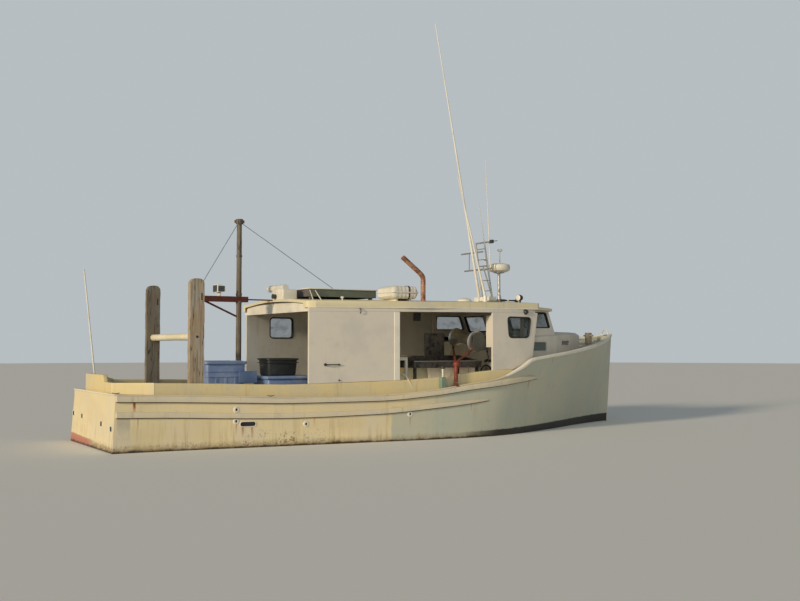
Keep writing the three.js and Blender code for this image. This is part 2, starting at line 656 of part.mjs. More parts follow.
function buildLiddedBox() {
  return joined(block(2740, 3600, -1080, -420, DECK, 1110), block(2715, 3625, -1105, -395, 1100, 1160));
}

function buildTote() {
  const tote = block(2800, 3360, -960, -520, 1160 + GAP, 1470);
  return tote.subtract(block(2825, 3335, -935, -545, 1200, 1600));
}

function buildSternPole() {
  return rod([300, 800, sheer(300) - 20], [60, 800, 3030], 16, 12, 10);
}

// The drum's axis, which rises inboard
function drumAxis(y) {
  return [DRUM.x, y, DRUM.z + (y - DRUM.near) * DRUM.rise];
}

function buildHaulerStand() {
  const near = DRUM.near - 70;
  const far = DRUM.far + 70;
  const post = rod([6120, -1885, sheer(6040)], [6120, -1885, 1330], 38, 36);
  const foot = block(6040, 6200, -1920, -1850, sheer(6040) - 10, sheer(6200) + 26);
  const knuckle = joined(ball([6150, -1850, 1345], 62), rod([6120, -1885, 1330], [6200, -1760, 1360], 40));
  const arms = [[near, -272], [far, -140]].flatMap(([y, drop]) => {
    const elbow = [DRUM.x - 170, y, drumAxis(y)[2] + drop];
    return [rod([6200, -1760, 1360], elbow, 26, 23), ball(elbow, 24, 1, 10), rod(elbow, drumAxis(y), 24, 30)];
  });
  const blocks = [near, far].map((y) => rod(drumAxis(y - 22), drumAxis(y + 22), 48, 48, 16));
  const bore = rod(drumAxis(-2200), drumAxis(0), DRUM.axle + 1, DRUM.axle + 1, 16);
  const guard = plateXZ([[DRUM.x - 40, 1700], [DRUM.x + 60, 1520], [DRUM.x + 250, 1520], [DRUM.x + 80, 1780]], near - 20, near + 8);
  return joined(post, foot, knuckle, ...arms, ...blocks, guard).subtract(bore);
}

function buildDrum() {
  const flangeThick = 24;
  const span = (y0, y1, radius, end = radius) => rod(drumAxis(y0), drumAxis(y1), radius, end, 24);
  return joined(
    span(DRUM.near - 100, DRUM.far + 100, DRUM.axle),
    span(DRUM.near - flangeThick / 2, DRUM.near + flangeThick / 2, DRUM.flange),
    span(DRUM.far - flangeThick / 2, DRUM.far + flangeThick / 2, DRUM.farFlange),
    span(DRUM.near, DRUM.near + 120, DRUM.barrel + 40, DRUM.barrel),
    span(DRUM.near + 100, DRUM.far - 100, DRUM.barrel),
    span(DRUM.far - 120, DRUM.far, DRUM.barrel, DRUM.barrel + 40));
}

function buildRailRoller() {
  const z = sheer(5900) + GAP;
  return joined(block(5790, 5900, -1895, -1800, z, z + 30), rod([5845, -1860, z + 20], [5845, -1860, 1290], 32, 26),
    rod([5845, -1860, 1270], [5845, -1860, 1320], 44));
}

function buildPickingTable() {
  const outline = [[-1500, 1280], [-1500, 1400], [-760, 1500], [-760, 1280]];
  const tray = loft([5460, 6980].map((x) => outline.map(([y, z]) => [x, y, z])));
  const inside = loft([5490, 6950].map((x) => [[x, -1470, 1320], [x, -1470, 1800], [x, -790, 1800], [x, -790, 1320]]));
  const legs = [[5500, -1440], [6900, -1440], [5500, -800], [6900, -800]]
    .map(([x, y]) => block(x, x + 50, y, y + 50, DECK + GAP, 1300));
  const board = block(6150, 6600, -790, -762, 1460, 1930);
  return joined(tray.subtract(inside), board, ...legs);
}

function buildBench() {
  const top = block(4700, 5420, -1440, -900, 1460, 1520);
  const legs = [[4740, -1400], [5340, -1400], [4740, -980], [5340, -980]]
    .map(([x, y]) => block(x, x + 40, y, y + 40, DECK + GAP, 1465));
  return joined(top, ...legs);
}

// Roof gear

const roofTop = (x, y) => {
  const share = y / along(ROOF, 'half', x);
  return along(ROOF, 'top', x) + ROOF_CAMBER * (1 - share * share);
};

function buildExhaust() {
  const y = -1660;
  const foot = roofTop(5550, y);
  return joined(
    rod([5550, y, foot - 30], [5550, y, 2960], 45, 45, 16),
    ball([5550, y, 2960], 46),
    rod([5550, y, 2960], [5110, y, 3290], 45, 45, 16),
    rod([5550, y, foot - 30], [5550, y, foot + 24], 80, 80, 16));
}

function buildRaft() {
  const z = 2542;
  const shell = loft([[5000, 150], [5060, 195], [5500, 195], [5560, 150]].map(([x, half]) =>
    roundedOutline(-1200 - half * 1.5, -1200 + half * 1.5, z + 145 - half * 0.72, z + 145 + half * 0.72, 60)
      .map(([y, pz]) => [x, y, pz])));
  const cradle = block(5080, 5480, -1400, -1000, z - 45, z + 20);
  return joined(shell, cradle);
}

function buildRack() {
  const tray = block(3750, 5160, -620, 620, 2590, 2735).subtract(block(3780, 5130, -590, 590, 2612, 2900));
  const feet = [3800, 4425, 5050].flatMap((x) => [-560, 500].map((y) => block(x, x + 60, y, y + 60, 2550, 2600)));
  return joined(tray, ...feet);
}

function buildLocker() {
  const box = block(3310, 3600, -430, 60, 2500, 2720);
  const roll = rod([3370, -430, 2750], [3370, 310, 2750], 60, 60, 16);
  const lamp = rod([3240, -140, 2620], [3320, -140, 2620], 55, 45, 16);
  return joined(box, roll, lamp);
}

function buildAerialMast() {
  const low = 2590;
  const lean = (z) => 7750 - 0.17 * (z - low);
  const rails = [[-560, -600], [-790, -710]].map(([foot, head]) =>
    rod([lean(low), foot, low], [lean(3780), head, 3780], 16));
  const rungs = [2800, 3010, 3220, 3430, 3640].map((z) => rod([lean(z), -790, z], [lean(z), -560, z], 9, 9, 8));
  const brace = rod([7880, -675, low], [lean(3300), -675, 3300], 14);
  const tie = rod([lean(3300), -800, 3300], [lean(3300), -540, 3300], 14);
  // Cross bars: height, starboard end, port end
  const bars = [[3240, -880, 120], [3580, -700, 300], [3760, -950, -300]].map(([z, from, to]) =>
    rod([lean(z) + 24, from, z], [lean(z) + 24, to, z], 13));
  const uprights = [[3580, 280, 150], [3240, 100, 190], [3240, -860, 120], [3760, -930, 80]].map(([z, y, tall]) =>
    rod([lean(z) + 24, y, z], [lean(z) + 24, y, z + tall], 11));
  const plate = block(7640, 7905, -860, -520, low - 45, low + 6);
  return joined(...rails, ...rungs, brace, tie, ...bars, ...uprights, plate);
}

function buildWhip(foot, head, radius, tip) {
  const [x, y, z] = foot;
  return joined(rod(foot, head, radius, tip, 10), rod([x, y, roofTop(x, y) - 30], [x, y, z], radius + 20, radius + 14, 12));
}

function buildRadar() {
  const dome = turned([[0, 0], [150, 0], [225, 50], [225, 120], [160, 175], [0, 190]]).translate([8010, -700, 3185]);
  const pole = rod([8010, -700, 2600], [8010, -700, 3190], 26, 26);
  const foot = block(7930, 8090, -780, -620, 2550, 2610);
  const finder = joined(rod([8035, -700, 3360], [8035, -700, 3620], 13), ball([8035, -700, 3640], 55, 0.6));
  return joined(dome, pole, foot, finder);
}

function buildSearchlight() {
  const x = 8060;
  const y = -1320;
  const z = roofTop(x, y);
  return joined(rod([x, y, z - 20], [x, y, z + 50], 22), rod([x - 60, y, z + 98], [x + 60, y, z + 98], 55, 62, 16));
}

function buildRoofDome() {
  return turned([[0, 0], [165, 0], [160, 60], [110, 115], [0, 130]]).translate([7200, -620, roofTop(7200, -620) - 20]);
}

// Foredeck gear

function buildBitt() {
  const foot = sheer(11100) - FOREDECK_DROP;
  return joined(block(10990, 11100, -55, 55, foot - 30, 1985), rod([11045, -150, 1920], [11045, 150, 1920], 20));
}

function buildBowHoop() {
  const z = 1935;
  const arch = Array.from({ length: 9 }, (_, i) => {
    const angle = i / 8 * Math.PI;
    return [11540, 105 * Math.cos(angle), z + 115 * Math.sin(angle)];
  });
  const runs = arch.slice(1).map((point, i) => rod(arch[i], point, 14, 14, 8));
  return joined(...runs, ...arch.map((point) => ball(point, 14, 1, 8)));
}

function buildForedeckHatch() {
  const foot = sheer(10300) - FOREDECK_DROP;
  const rise = (sheer(10600) - sheer(10100)) / 500;
  const low = (x) => foot + (x - 10300) * rise + GAP;
  return loft([10150, 10640].map((x) => [[x, -240, low(x)], [x, 240, low(x)], [x, 240, low(x) + 45], [x, -240, low(x) + 45]]));
}

// Assembly

const { outside, hull } = buildHull();
const { outside: trunkOutside, trunk } = buildTrunk(hull);
const roof = buildRoof();
const derrick = buildDerrick();
const onRoof = (piece) => seated(piece, roof, 0, 0, 1);

node('hull', hull, 'cream');
node('keel', buildKeel(outside), 'bottom');
node('rudder', buildRudder(), 'bottom');
node('propeller', buildPropeller(), 'bronze');
node('engine', buildEngine(), 'dark');
node('engine_hatch', buildEngineHatch(), 'white');
for (const [name, side] of [['starboard', -1], ['port', 1]]) {
  node(`upper_guard_${name}`, buildGuard(UPPER_GUARD, side, outside), 'cream');
  node(`lower_guard_${name}`, buildGuard(LOWER_GUARD, side, outside), 'cream');
  node(`bulwark_${name}`, buildBulwark(side), 'cream');
  node(`front_wall_${name}`, buildFrontWall(side, hull), 'white');
  node(`gallows_post_${name}`, buildGallowsPost(side), 'wood');
}
node('bulwark_stern', buildSternBulwark(outside), 'cream');
node('trunk_cabin', trunk, 'white');
node('bridge_front', buildBridgeFront(trunkOutside, roof), 'white');
node('aft_panel', buildAftPanel(), 'white');
node('forward_panel', buildForwardPanel(), 'white');
node('header', buildHeader(), 'white');
node('port_wall', buildPortWall(), 'white');
node('roof', roof, 'cream');
node('roof_aft_beam', buildAftBeam(roof), 'white');
node('bulkhead', buildBulkhead(), 'white');
node('companion_door', buildCompanionDoor(), 'white');
node('helm_console', buildConsole(), 'white');
node('helm_wheel', buildHelmWheel(), 'dark');
node('gallows_roller', buildGallowsRoller(), 'cream');
node('derrick', derrick, 'rust');
node('floodlight', buildFloodlight(), 'white');
const stayAft = buildStay([MAST.x, 0, 3960], [POST.x + 100, -POST.y, POST.top - 70]);
node('stay_aft', clearOf(clearOf(stayAft, derrick, -1, -1, 0), buildGallowsPost(-1), 0, 0, 1), 'steel');
const stayFore = buildStay([MAST.x, 0, 3950], [5500, 800, roofTop(5500, 800) - 30]);
node('stay_fore', clearOf(clearOf(stayFore, derrick, 1, 0, 0), roof, 0, 0, 1), 'steel');
node('fish_tub', buildTub(), 'blue');
node('lidded_box', buildLiddedBox(), 'blue');
node('tote', buildTote(), 'dark');
node('stern_pole', seated(buildSternPole(), outside, 0, 0, 1), 'gloss');
node('hauler_stand', seated(buildHaulerStand(), outside, 0, 0, 1), 'rust');
node('hauler_drum', buildDrum(), 'steel');
node('rail_roller', buildRailRoller(), 'white');
node('picking_table', buildPickingTable(), 'dark');
node('bench', buildBench(), 'wood');
node('exhaust_stack', onRoof(buildExhaust()), 'rust');
node('raft_canister', onRoof(buildRaft()), 'gloss');
node('roof_rack', onRoof(buildRack()), 'dark');
node('roof_locker', onRoof(buildLocker()), 'white');
node('aerial_mast', onRoof(buildAerialMast()), 'steel');
node('long_whip', onRoof(buildWhip([7700, -450, 2700], [6630, -450, 8170], 34, 10)), 'gloss');
node('second_whip', onRoof(buildWhip([7510, -900, 2680], [6860, -900, 5010], 26, 8)), 'gloss');
node('radar', onRoof(buildRadar()), 'gloss');
node('searchlight', onRoof(buildSearchlight()), 'gloss');
node('roof_dome', onRoof(buildRoofDome()), 'gloss');
node('bow_bitt', seated(buildBitt(), hull, 0, 0, 1), 'wood');
node('bow_hoop', seated(buildBowHoop(), outside, 0, 0, 1), 'gloss');
node('foredeck_hatch', buildForedeckHatch(), 'white');

export default boat;
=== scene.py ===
"""The look of an inshore fishing boat, 11.7 m long, afloat at its moorings.

Every new piece is a surface worked out with numpy in metres. Places along the boat are measured from the
transom, y runs to port and z up from the water, and a piece is shifted into the frame when its mesh is made.
"""

import json
import logging
import math
from dataclasses import dataclass, field
from enum import Enum
from functools import lru_cache
from typing import Callable, Mapping, Sequence

import bmesh
import bpy
import numpy as np
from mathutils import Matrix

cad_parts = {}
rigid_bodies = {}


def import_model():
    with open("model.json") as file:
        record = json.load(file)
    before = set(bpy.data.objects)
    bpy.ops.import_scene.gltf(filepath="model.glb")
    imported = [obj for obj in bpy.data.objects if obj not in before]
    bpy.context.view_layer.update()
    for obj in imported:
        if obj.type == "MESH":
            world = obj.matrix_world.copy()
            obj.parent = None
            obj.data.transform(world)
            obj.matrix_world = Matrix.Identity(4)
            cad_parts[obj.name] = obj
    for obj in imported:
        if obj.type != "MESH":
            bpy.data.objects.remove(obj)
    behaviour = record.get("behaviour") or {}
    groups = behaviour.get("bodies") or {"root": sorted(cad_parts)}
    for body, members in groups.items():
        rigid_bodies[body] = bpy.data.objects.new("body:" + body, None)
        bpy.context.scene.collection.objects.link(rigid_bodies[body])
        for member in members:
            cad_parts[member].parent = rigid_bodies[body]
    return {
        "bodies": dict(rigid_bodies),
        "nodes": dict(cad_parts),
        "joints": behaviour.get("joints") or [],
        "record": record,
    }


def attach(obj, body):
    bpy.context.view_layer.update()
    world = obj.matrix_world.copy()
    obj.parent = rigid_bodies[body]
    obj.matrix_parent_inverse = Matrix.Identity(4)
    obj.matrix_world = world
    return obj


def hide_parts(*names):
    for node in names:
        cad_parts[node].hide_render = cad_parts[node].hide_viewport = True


Array = np.ndarray
Colour = tuple[int, int, int]
Vector = Sequence[float]
Outline = Sequence[Vector]
LOG = logging.getLogger("boat")

TRANSOM = -5.775
DECK = 0.30
TAU = 2 * math.pi
STARBOARD, PORT = -1, 1
SIDES = (("starboard", STARBOARD), ("port", PORT))
UP = np.array([0.0, 0.0, 1.0])
FORWARD = np.array([1.0, 0.0, 0.0])


class Body(str, Enum):
    """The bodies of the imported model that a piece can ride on."""

    BOAT = "boat"
    SCREW = "screw"
    RUDDER = "rudder_blade"
    WHEEL = "wheel"
    DOOR = "door"
    ENGINE_LID = "engine_lid"
    FOREDECK_LID = "foredeck_lid"
    DRUM = "drum"
    ROLLER = "roller"


# Curves and shapes


def smooth(table: Array, x: Array) -> Array:
    """Draws fair curves through the rows of a table.

    A row's slope is the harmonic mean of the slopes of its two chords, or nothing where they differ in
    sign, and between two rows the curve is the cubic that has those slopes at its ends.

    Args:
        table: Rows whose first column is x.
        x: Places to read.

    Returns:
        The other columns at each x.
    """
    knots, values = table[:, 0], table[:, 1:]
    step = np.diff(knots)[:, None]
    chord = np.diff(values, axis=0) / step
    before, after = chord[:-1], chord[1:]
    agree = before * after > 0
    mean = np.where(agree, 2 * before * after / np.where(agree, before + after, 1), 0)
    slope = np.concatenate([chord[:1], mean, chord[-1:]])
    x = np.clip(np.asarray(x, float), knots[0], knots[-1])
    cell = np.clip(np.searchsorted(knots, x) - 1, 0, len(knots) - 2)
    run = step[cell]
    t = (x - knots[cell])[..., None] / run
    start = values[cell] * (1 + 2 * t) + run * slope[cell] * t
    stop = values[cell + 1] * (3 - 2 * t) + run * slope[cell + 1] * (t - 1)
    return start * (1 - t) ** 2 + stop * t**2


def fade(value: Array, low: float, high: float) -> Array:
    """Rises from 0 at low to 1 at high along the curve 3t squared less 2t cubed."""
    t = np.clip((value - low) / (high - low), 0, 1)
    return t * t * (3 - 2 * t)


def wander(along: Array, size: float, wave: float, seed: float = 0.0) -> Array:
    """A slow unevenness: three sines of unlike wavelengths added up, as high as size."""
    turn = TAU * along / wave
    waves = ((1.0, 1.0, 1), (0.6, 2.3, 2), (0.4, 4.1, 3))
    return size * sum(share * np.sin(pace * turn + count * seed) for share, pace, count in waves) / 2


def around(angle: Array) -> Array:
    """Points of the unit circle."""
    return np.stack([np.cos(angle), np.sin(angle)], axis=-1)


def circle(sides: int, radius: float = 1.0) -> Array:
    """Corners of a round section, at even angles."""
    return radius * around(np.arange(sides) * TAU / sides)


def rounded(width: float, height: float, radius: float, steps: int = 3) -> Array:
    """Corners of a rectangle about the middle, each corner a quarter circle of steps parts."""
    quarter = np.linspace(0, math.pi / 2, steps + 1)
    angle = (np.arange(4)[:, None] * math.pi / 2 + quarter).ravel()
    sign = np.repeat(np.array([[1, 1], [-1, 1], [-1, -1], [1, -1]]), steps + 1, axis=0)
    centre = sign * (np.array([width, height]) / 2 - radius)
    return centre + radius * around(angle)


def oblong(x0: float, x1: float, y0: float, y1: float) -> Array:
    """Corners of a rectangle between four sides."""
    return np.array([[x0, y0], [x1, y0], [x1, y1], [x0, y1]])


def xyz(x: Array | float, y: Array | float, z: Array | float) -> Array:
    """Points from their three coordinates, each of them an array or one value for all points."""
    return np.stack(np.broadcast_arrays(x, y, z), axis=-1)


def level(loop: Array, z: float) -> Array:
    """A loop in plan as points at one height."""
    return xyz(loop[:, 0], loop[:, 1], z)


def spline(points: Outline, steps: int = 8) -> Array:
    """A curve through points: on each span, the cubic whose end slopes are half the chords over two spans."""
    knots = np.array(points, float)
    padded = np.concatenate([2 * knots[:1] - knots[1:2], knots, 2 * knots[-1:] - knots[-2:-1]])
    p0, p1, p2, p3 = padded[:-3, None], padded[1:-2, None], padded[2:-1, None], padded[3:, None]
    t = np.linspace(0, 1, steps, endpoint=False)[:, None]
    spans = p1 + 0.5 * t * (p2 - p0 + t * (2 * p0 - 5 * p1 + 4 * p2 - p3 + t * (3 * (p1 - p2) + p3 - p0)))
    return np.concatenate([spans.reshape(-1, knots.shape[1]), knots[-1:]])


@dataclass
class Form:
    """A closed shape as whole arrays.

    Attributes:
        points: One row for each corner.
        faces: Blocks of faces, each an array of corner numbers with one row for each face.
    """

    points: Array
    faces: list[Array]

    @staticmethod
    def joined(forms: Sequence["Form"]) -> "Form":
        """Several shapes as one."""
        counts = np.cumsum([0] + [len(form.points) for form in forms])
        faces = [block + start for form, start in zip(forms, counts) for block in form.faces]
        return Form(np.concatenate([form.points for form in forms]), faces)

    def outward(self) -> "Form":
        """The shape with its faces pointing out: turned round where its volume comes out below nothing."""
        volume = 0.0
        for block in self.faces:
            corner = self.points[block]
            for k in range(1, block.shape[1] - 1):
                volume += np.sum(corner[:, 0] * np.cross(corner[:, k], corner[:, k + 1]))
        return self if volume > 0 else Form(self.points, [block[:, ::-1] for block in self.faces])

    def moved(self, x: float = 0.0, y: float = 0.0, z: float = 0.0) -> "Form":
        """The shape shifted."""
        return Form(self.points + np.array([x, y, z]), self.faces)

    def mirrored(self) -> "Form":
        """The shape on the other side of the centreline."""
        return Form(self.points * np.array([1, -1, 1]), [block[:, ::-1] for block in self.faces])

    def both(self) -> "Form":
        """The shape and its mirror image."""
        return Form.joined([self, self.mirrored()])

    def aimed(self, centre: Vector, direction: Vector) -> "Form":
        """The shape with its z axis laid along a direction, its origin at centre."""
        w = np.array(direction, float) / np.linalg.norm(direction)
        u = np.cross(UP if abs(w[2]) < 0.99 else np.array([0.0, 1.0, 0.0]), w)
        u /= np.linalg.norm(u)
        axes = np.stack([u, np.cross(w, u), w])
        return Form(self.points @ axes + np.array(centre, float), self.faces)


def quads(*corners: Array) -> Array:
    """Four-sided faces from the numbers of their corners, as four arrays of one shape."""
    return np.stack(corners, axis=-1).reshape(-1, 4)


def shell(rows: Array, first: Array | None = None, last: Array | None = None) -> Form:
    """A closed body through rows of loops.

    Args:
        rows: Loops of points, as an array of rows by sides by 3.
        first: Point that a fan closes the first loop to. Without it one flat face does.
        last: The same for the last loop.

    Returns:
        The body, with its faces outward.
    """
    count, sides = rows.shape[:2]
    index = np.arange(count * sides).reshape(count, sides)
    ahead = np.roll(index, -1, axis=1)
    faces = [quads(index[:-1], ahead[:-1], ahead[1:], index[1:])]
    points = [rows.reshape(-1, 3)]
    total = count * sides
    for tip, loop, near, turn in ((first, index[0], ahead[0], -1), (last, index[-1], ahead[-1], 1)):
        if tip is None:
            faces.append(loop[None, ::turn])
            continue
        points.append(np.array(tip, float)[None])
        faces.append(np.stack([np.full(sides, total), loop, near], axis=-1)[:, ::turn])
        total += 1
    return Form(np.concatenate(points), faces).outward()


def ring(rows: Array) -> Form:
    """A body through rows of loops whose last row joins the first."""
    count, sides = rows.shape[:2]
    index = np.arange(count * sides).reshape(count, sides)
    ahead, after = np.roll(index, -1, axis=1), np.roll(index, -1, axis=0)
    beyond = np.roll(ahead, -1, axis=0)
    return Form(rows.reshape(-1, 3), [quads(index, ahead, beyond, after)]).outward()


def carried(path: Array, section: Array, up: Vector | None = None, closed: bool = False) -> Form:
    """A profile carried along a path.

    At each point the profile's first axis is the path's direction crossed with up, and its second is at
    right angles to both. Without up, the direction that the path turns least towards is taken.

    Args:
        path: Points of the path.
        section: Profile corners, or one such profile for each point of the path.
        up: Rough direction of the profile's second axis.
        closed: Whether the path ends where it starts.
    """
    path = np.asarray(path, float)
    ahead = np.roll(path, -1, axis=0) - np.roll(path, 1, axis=0) if closed else np.gradient(path, axis=0)
    ahead /= np.linalg.norm(ahead, axis=1, keepdims=True)
    rough = np.linalg.eigh(ahead.T @ ahead)[1][:, 0] if up is None else np.array(up, float)
    side = np.cross(ahead, rough)
    side /= np.linalg.norm(side, axis=1, keepdims=True)
    rise = np.cross(side, ahead)
    across, high = section[..., 0, None], section[..., 1, None]
    rows = path[:, None] + across * side[:, None] + high * rise[:, None]
    return ring(rows) if closed else shell(rows)


def tube(points: Outline, radius: float | Array, sides: int = 12, closed: bool = False) -> Form:
    """A round bar along points, of one radius or of one for each point."""
    radii = np.broadcast_to(np.asarray(radius, float), (len(points),))
    return carried(np.array(points, float), circle(sides) * radii[:, None, None], closed=closed)


def turned(profile: Outline, sides: int = 32) -> Form:
    """A profile of radius and height turned about the z axis; an end on the axis closes in a point."""
    outline = np.array(profile, float)
    first = [0, 0, outline[0, 1]] if outline[0, 0] < 1e-6 else None
    last = [0, 0, outline[-1, 1]] if outline[-1, 0] < 1e-6 else None
    kept = outline[(0 if first is None else 1) : (len(outline) if last is None else -1)]
    loop = circle(sides)
    radius, height = kept[:, :1], kept[:, 1:]
    return shell(xyz(radius * loop[:, 0], radius * loop[:, 1], height), first, last)


def bar(
    start: Vector, stop: Vector, radius: float, end: float | None = None, sides: int = 16
) -> Form:
    """A straight round bar, tapered to another radius where one is given, with softened ends."""
    start, stop = np.array(start, float), np.array(stop, float)
    end = radius if end is None else end
    length = float(np.linalg.norm(stop - start))
    lip = min(0.12 * min(radius, end), 0.2 * length)
    profile = [[radius - lip, 0], [radius, lip], [end, length - lip], [end - lip, length]]
    return turned(profile, sides).aimed(start, stop - start)


def ball(centre: Vector, radius: float, sides: int = 16, squash: float = 1.0) -> Form:
    """A ball, flattened along z by squash: radius times sine, height times cosine of an even angle."""
    angle = np.linspace(0, math.pi, sides // 2 + 1)
    profile = np.stack([radius * np.sin(angle), -radius * squash * np.cos(angle)], axis=-1)
    profile[[0, -1], 0] = 0
    return turned(profile, sides).moved(*centre)


def block(x0: float, x1: float, y0: float, y1: float, z0: float, z1: float) -> Form:
    """A box between six faces."""
    loop = oblong(x0, x1, y0, y1)
    return shell(np.stack([level(loop, z) for z in (z0, z1)]))


def slab(outline: Outline, low: float, high: float, axis: int) -> Form:
    """A plate between two places along an axis, whose outline is in the other two axes, in order."""
    outline = np.asarray(outline, float)
    rows = np.stack([np.insert(outline, axis, place, axis=1) for place in (low, high)])
    return shell(rows)


def moulded(size: Vector, radius: float, draft: float = 0.0) -> Form:
    """A moulded box with round edges, standing on z = 0 about the middle.

    Each level is a rounded rectangle. It draws in near the top and bottom as a quarter circle does, and by
    draft at the bottom.

    Args:
        size: Length, width and height.
        radius: Radius of the edges.
        draft: How much smaller each side is at the bottom.
    """
    steps = 4
    length, width, height = size
    quarter = np.linspace(0.25, math.pi / 2, steps)
    rise = radius * (1 - np.cos(quarter))
    inset = radius * (1 - np.sin(quarter))
    levels = np.concatenate([rise, height - rise[::-1]])
    insets = np.concatenate([inset, inset[::-1]])
    rows = []
    for z, draw in zip(levels, insets):
        lean = draft * (1 - z / height)
        loop = rounded(length - 2 * draw - 2 * lean, width - 2 * draw - 2 * lean, radius, steps)
        rows.append(level(loop, z))
    return shell(np.stack(rows))


def hoop(loop: Array, z: float, width: float, height: float, radius: float) -> Form:
    """A rim with round edges along a loop in plan, at one height."""
    return carried(level(loop, z), rounded(width, height, radius), UP, closed=True)


# Shader maths


def operator(operation: str, swapped: bool = False) -> Callable[["Flow", object], "Flow"]:
    """An operator of flows that adds one Math node; swapped is for a flow that stands on the right."""

    def reckon(self: "Flow", other: object) -> "Flow":
        """Adds the node."""
        first, second = (other, self) if swapped else (self, other)
        return self.graph.node("ShaderNodeMath", {"operation": operation}, {0: first, 1: second})

    return reckon


class Flow:
    """A socket to reckon with: an expression on flows adds the Math nodes that work it out."""

    __add__ = operator("ADD")
    __sub__ = operator("SUBTRACT")
    __rsub__ = operator("SUBTRACT", swapped=True)
    __mul__ = operator("MULTIPLY")
    __or__ = operator("MAXIMUM")

    def __init__(self, graph: "Graph", socket: bpy.types.NodeSocket) -> None:
        """Wraps an output socket of a graph."""
        self.graph = graph
        self.socket = socket

    def far(self, middle: float) -> "Flow":
        """Distance from a value."""
        return self.graph.node("ShaderNodeMath", {"operation": "ABSOLUTE"}, {0: self - middle})

    def step(self, low: float, high: float) -> "Flow":
        """A smooth mask that rises from 0 at low to 1 at high, or falls where low is the larger."""
        if low > high:
            return 1 - self.step(high, low)
        settings = {"interpolation_type": "SMOOTHSTEP"}
        return self.graph.node("ShaderNodeMapRange", settings, {0: self, 1: low, 2: high, 3: 0.0, 4: 1.0})


def linear(colour: Colour) -> tuple[float, float, float, float]:
    """A display colour from 0 to 255 as the linear colour that a socket takes."""
    shares = [c / 255 for c in colour]
    return (*[s / 12.92 if s <= 0.04045 else ((s + 0.055) / 1.055) ** 2.4 for s in shares], 1.0)


class Graph:
    """The node graph of one material."""

    def __init__(self, name: str) -> None:
        """Makes the material and its shader."""
        self.material = bpy.data.materials.new(name)
        self.material.use_nodes = True
        self.tree = self.material.node_tree
        self.shader = self.tree.nodes["Principled BSDF"]
        self.place = self.node("ShaderNodeTexCoord", out=3)

    def node(
        self,
        kind: str,
        settings: Mapping[str, object] | None = None,
        sockets: Mapping[int | str, object] | None = None,
        out: int = 0,
    ) -> Flow:
        """Adds a node.

        Args:
            kind: Its type.
            settings: Its own properties, set first.
            sockets: Values, or flows to link, by input name or number.
            out: Number of the output wanted.

        Returns:
            That output.
        """
        made = self.tree.nodes.new(kind)
        for name, value in (settings or {}).items():
            setattr(made, name, value)
        for key, value in (sockets or {}).items():
            if isinstance(value, Flow):
                self.tree.links.new(value.socket, made.inputs[key])
            else:
                made.inputs[key].default_value = value
        return Flow(self, made.outputs[out])

    def axes(self) -> tuple[Flow, Flow, Flow]:
        """The place on the object: x from the transom, y and z."""
        parts = self.node("ShaderNodeSeparateXYZ", sockets={0: self.place})
        outputs = parts.socket.node.outputs
        return Flow(self, outputs[0]) - TRANSOM, Flow(self, outputs[1]), Flow(self, outputs[2])

    def noise(
        self,
        scale: float,
        stretch: Vector = (1, 1, 1),
        detail: float = 3.0,
        rough: float = 0.55,
        warp: float = 0.0,
    ) -> Flow:
        """Cloudy noise from 0 to 1 at a scale to the metre, drawn out along the axes whose stretch is small."""
        vector = self.place
        if tuple(stretch) != (1, 1, 1):
            settings = {"operation": "MULTIPLY"}
            vector = self.node("ShaderNodeVectorMath", settings, {0: self.place, 1: tuple(map(float, stretch))})
        sockets = {"Vector": vector, "Scale": scale, "Detail": detail, "Roughness": rough, "Distortion": warp}
        return self.node("ShaderNodeTexNoise", sockets=sockets)

    def mix(self, low: object, high: object, share: object) -> Flow:
        """One colour going over to another."""
        first, second = [linear(value) if isinstance(value, tuple) else value for value in (low, high)]
        return self.node("ShaderNodeMix", {"data_type": "RGBA"}, {0: share, 6: first, 7: second}, out=2)

    def feed(self, socket: str, value: object) -> None:
        """Sets or links one socket of the shader."""
        if isinstance(value, Flow):
            self.tree.links.new(value.socket, self.shader.inputs[socket])
        else:
            self.shader.inputs[socket].default_value = linear(value) if isinstance(value, tuple) else value

    def relief(self, height: Flow, depth: float) -> None:
        """Bumps the surface by a height from 0 to 1 times depth in metres."""
        sockets = {"Height": height, "Distance": depth, "Strength": 1.0}
        self.feed("Normal", self.node("ShaderNodeBump", sockets=sockets))


# Finishes


@dataclass(frozen=True)
class Finish:
    """A finish by its name and the record's slot that it comes under."""

    name: str
    slot: str

    def paint(self, graph: Graph) -> None:
        """Builds the finish into a graph."""
        raise NotImplementedError


@lru_cache(maxsize=None)
def material_of(finish: Finish) -> bpy.types.Material:
    """The material of a finish, made once."""
    graph = Graph(finish.name)
    finish.paint(graph)
    return graph.material


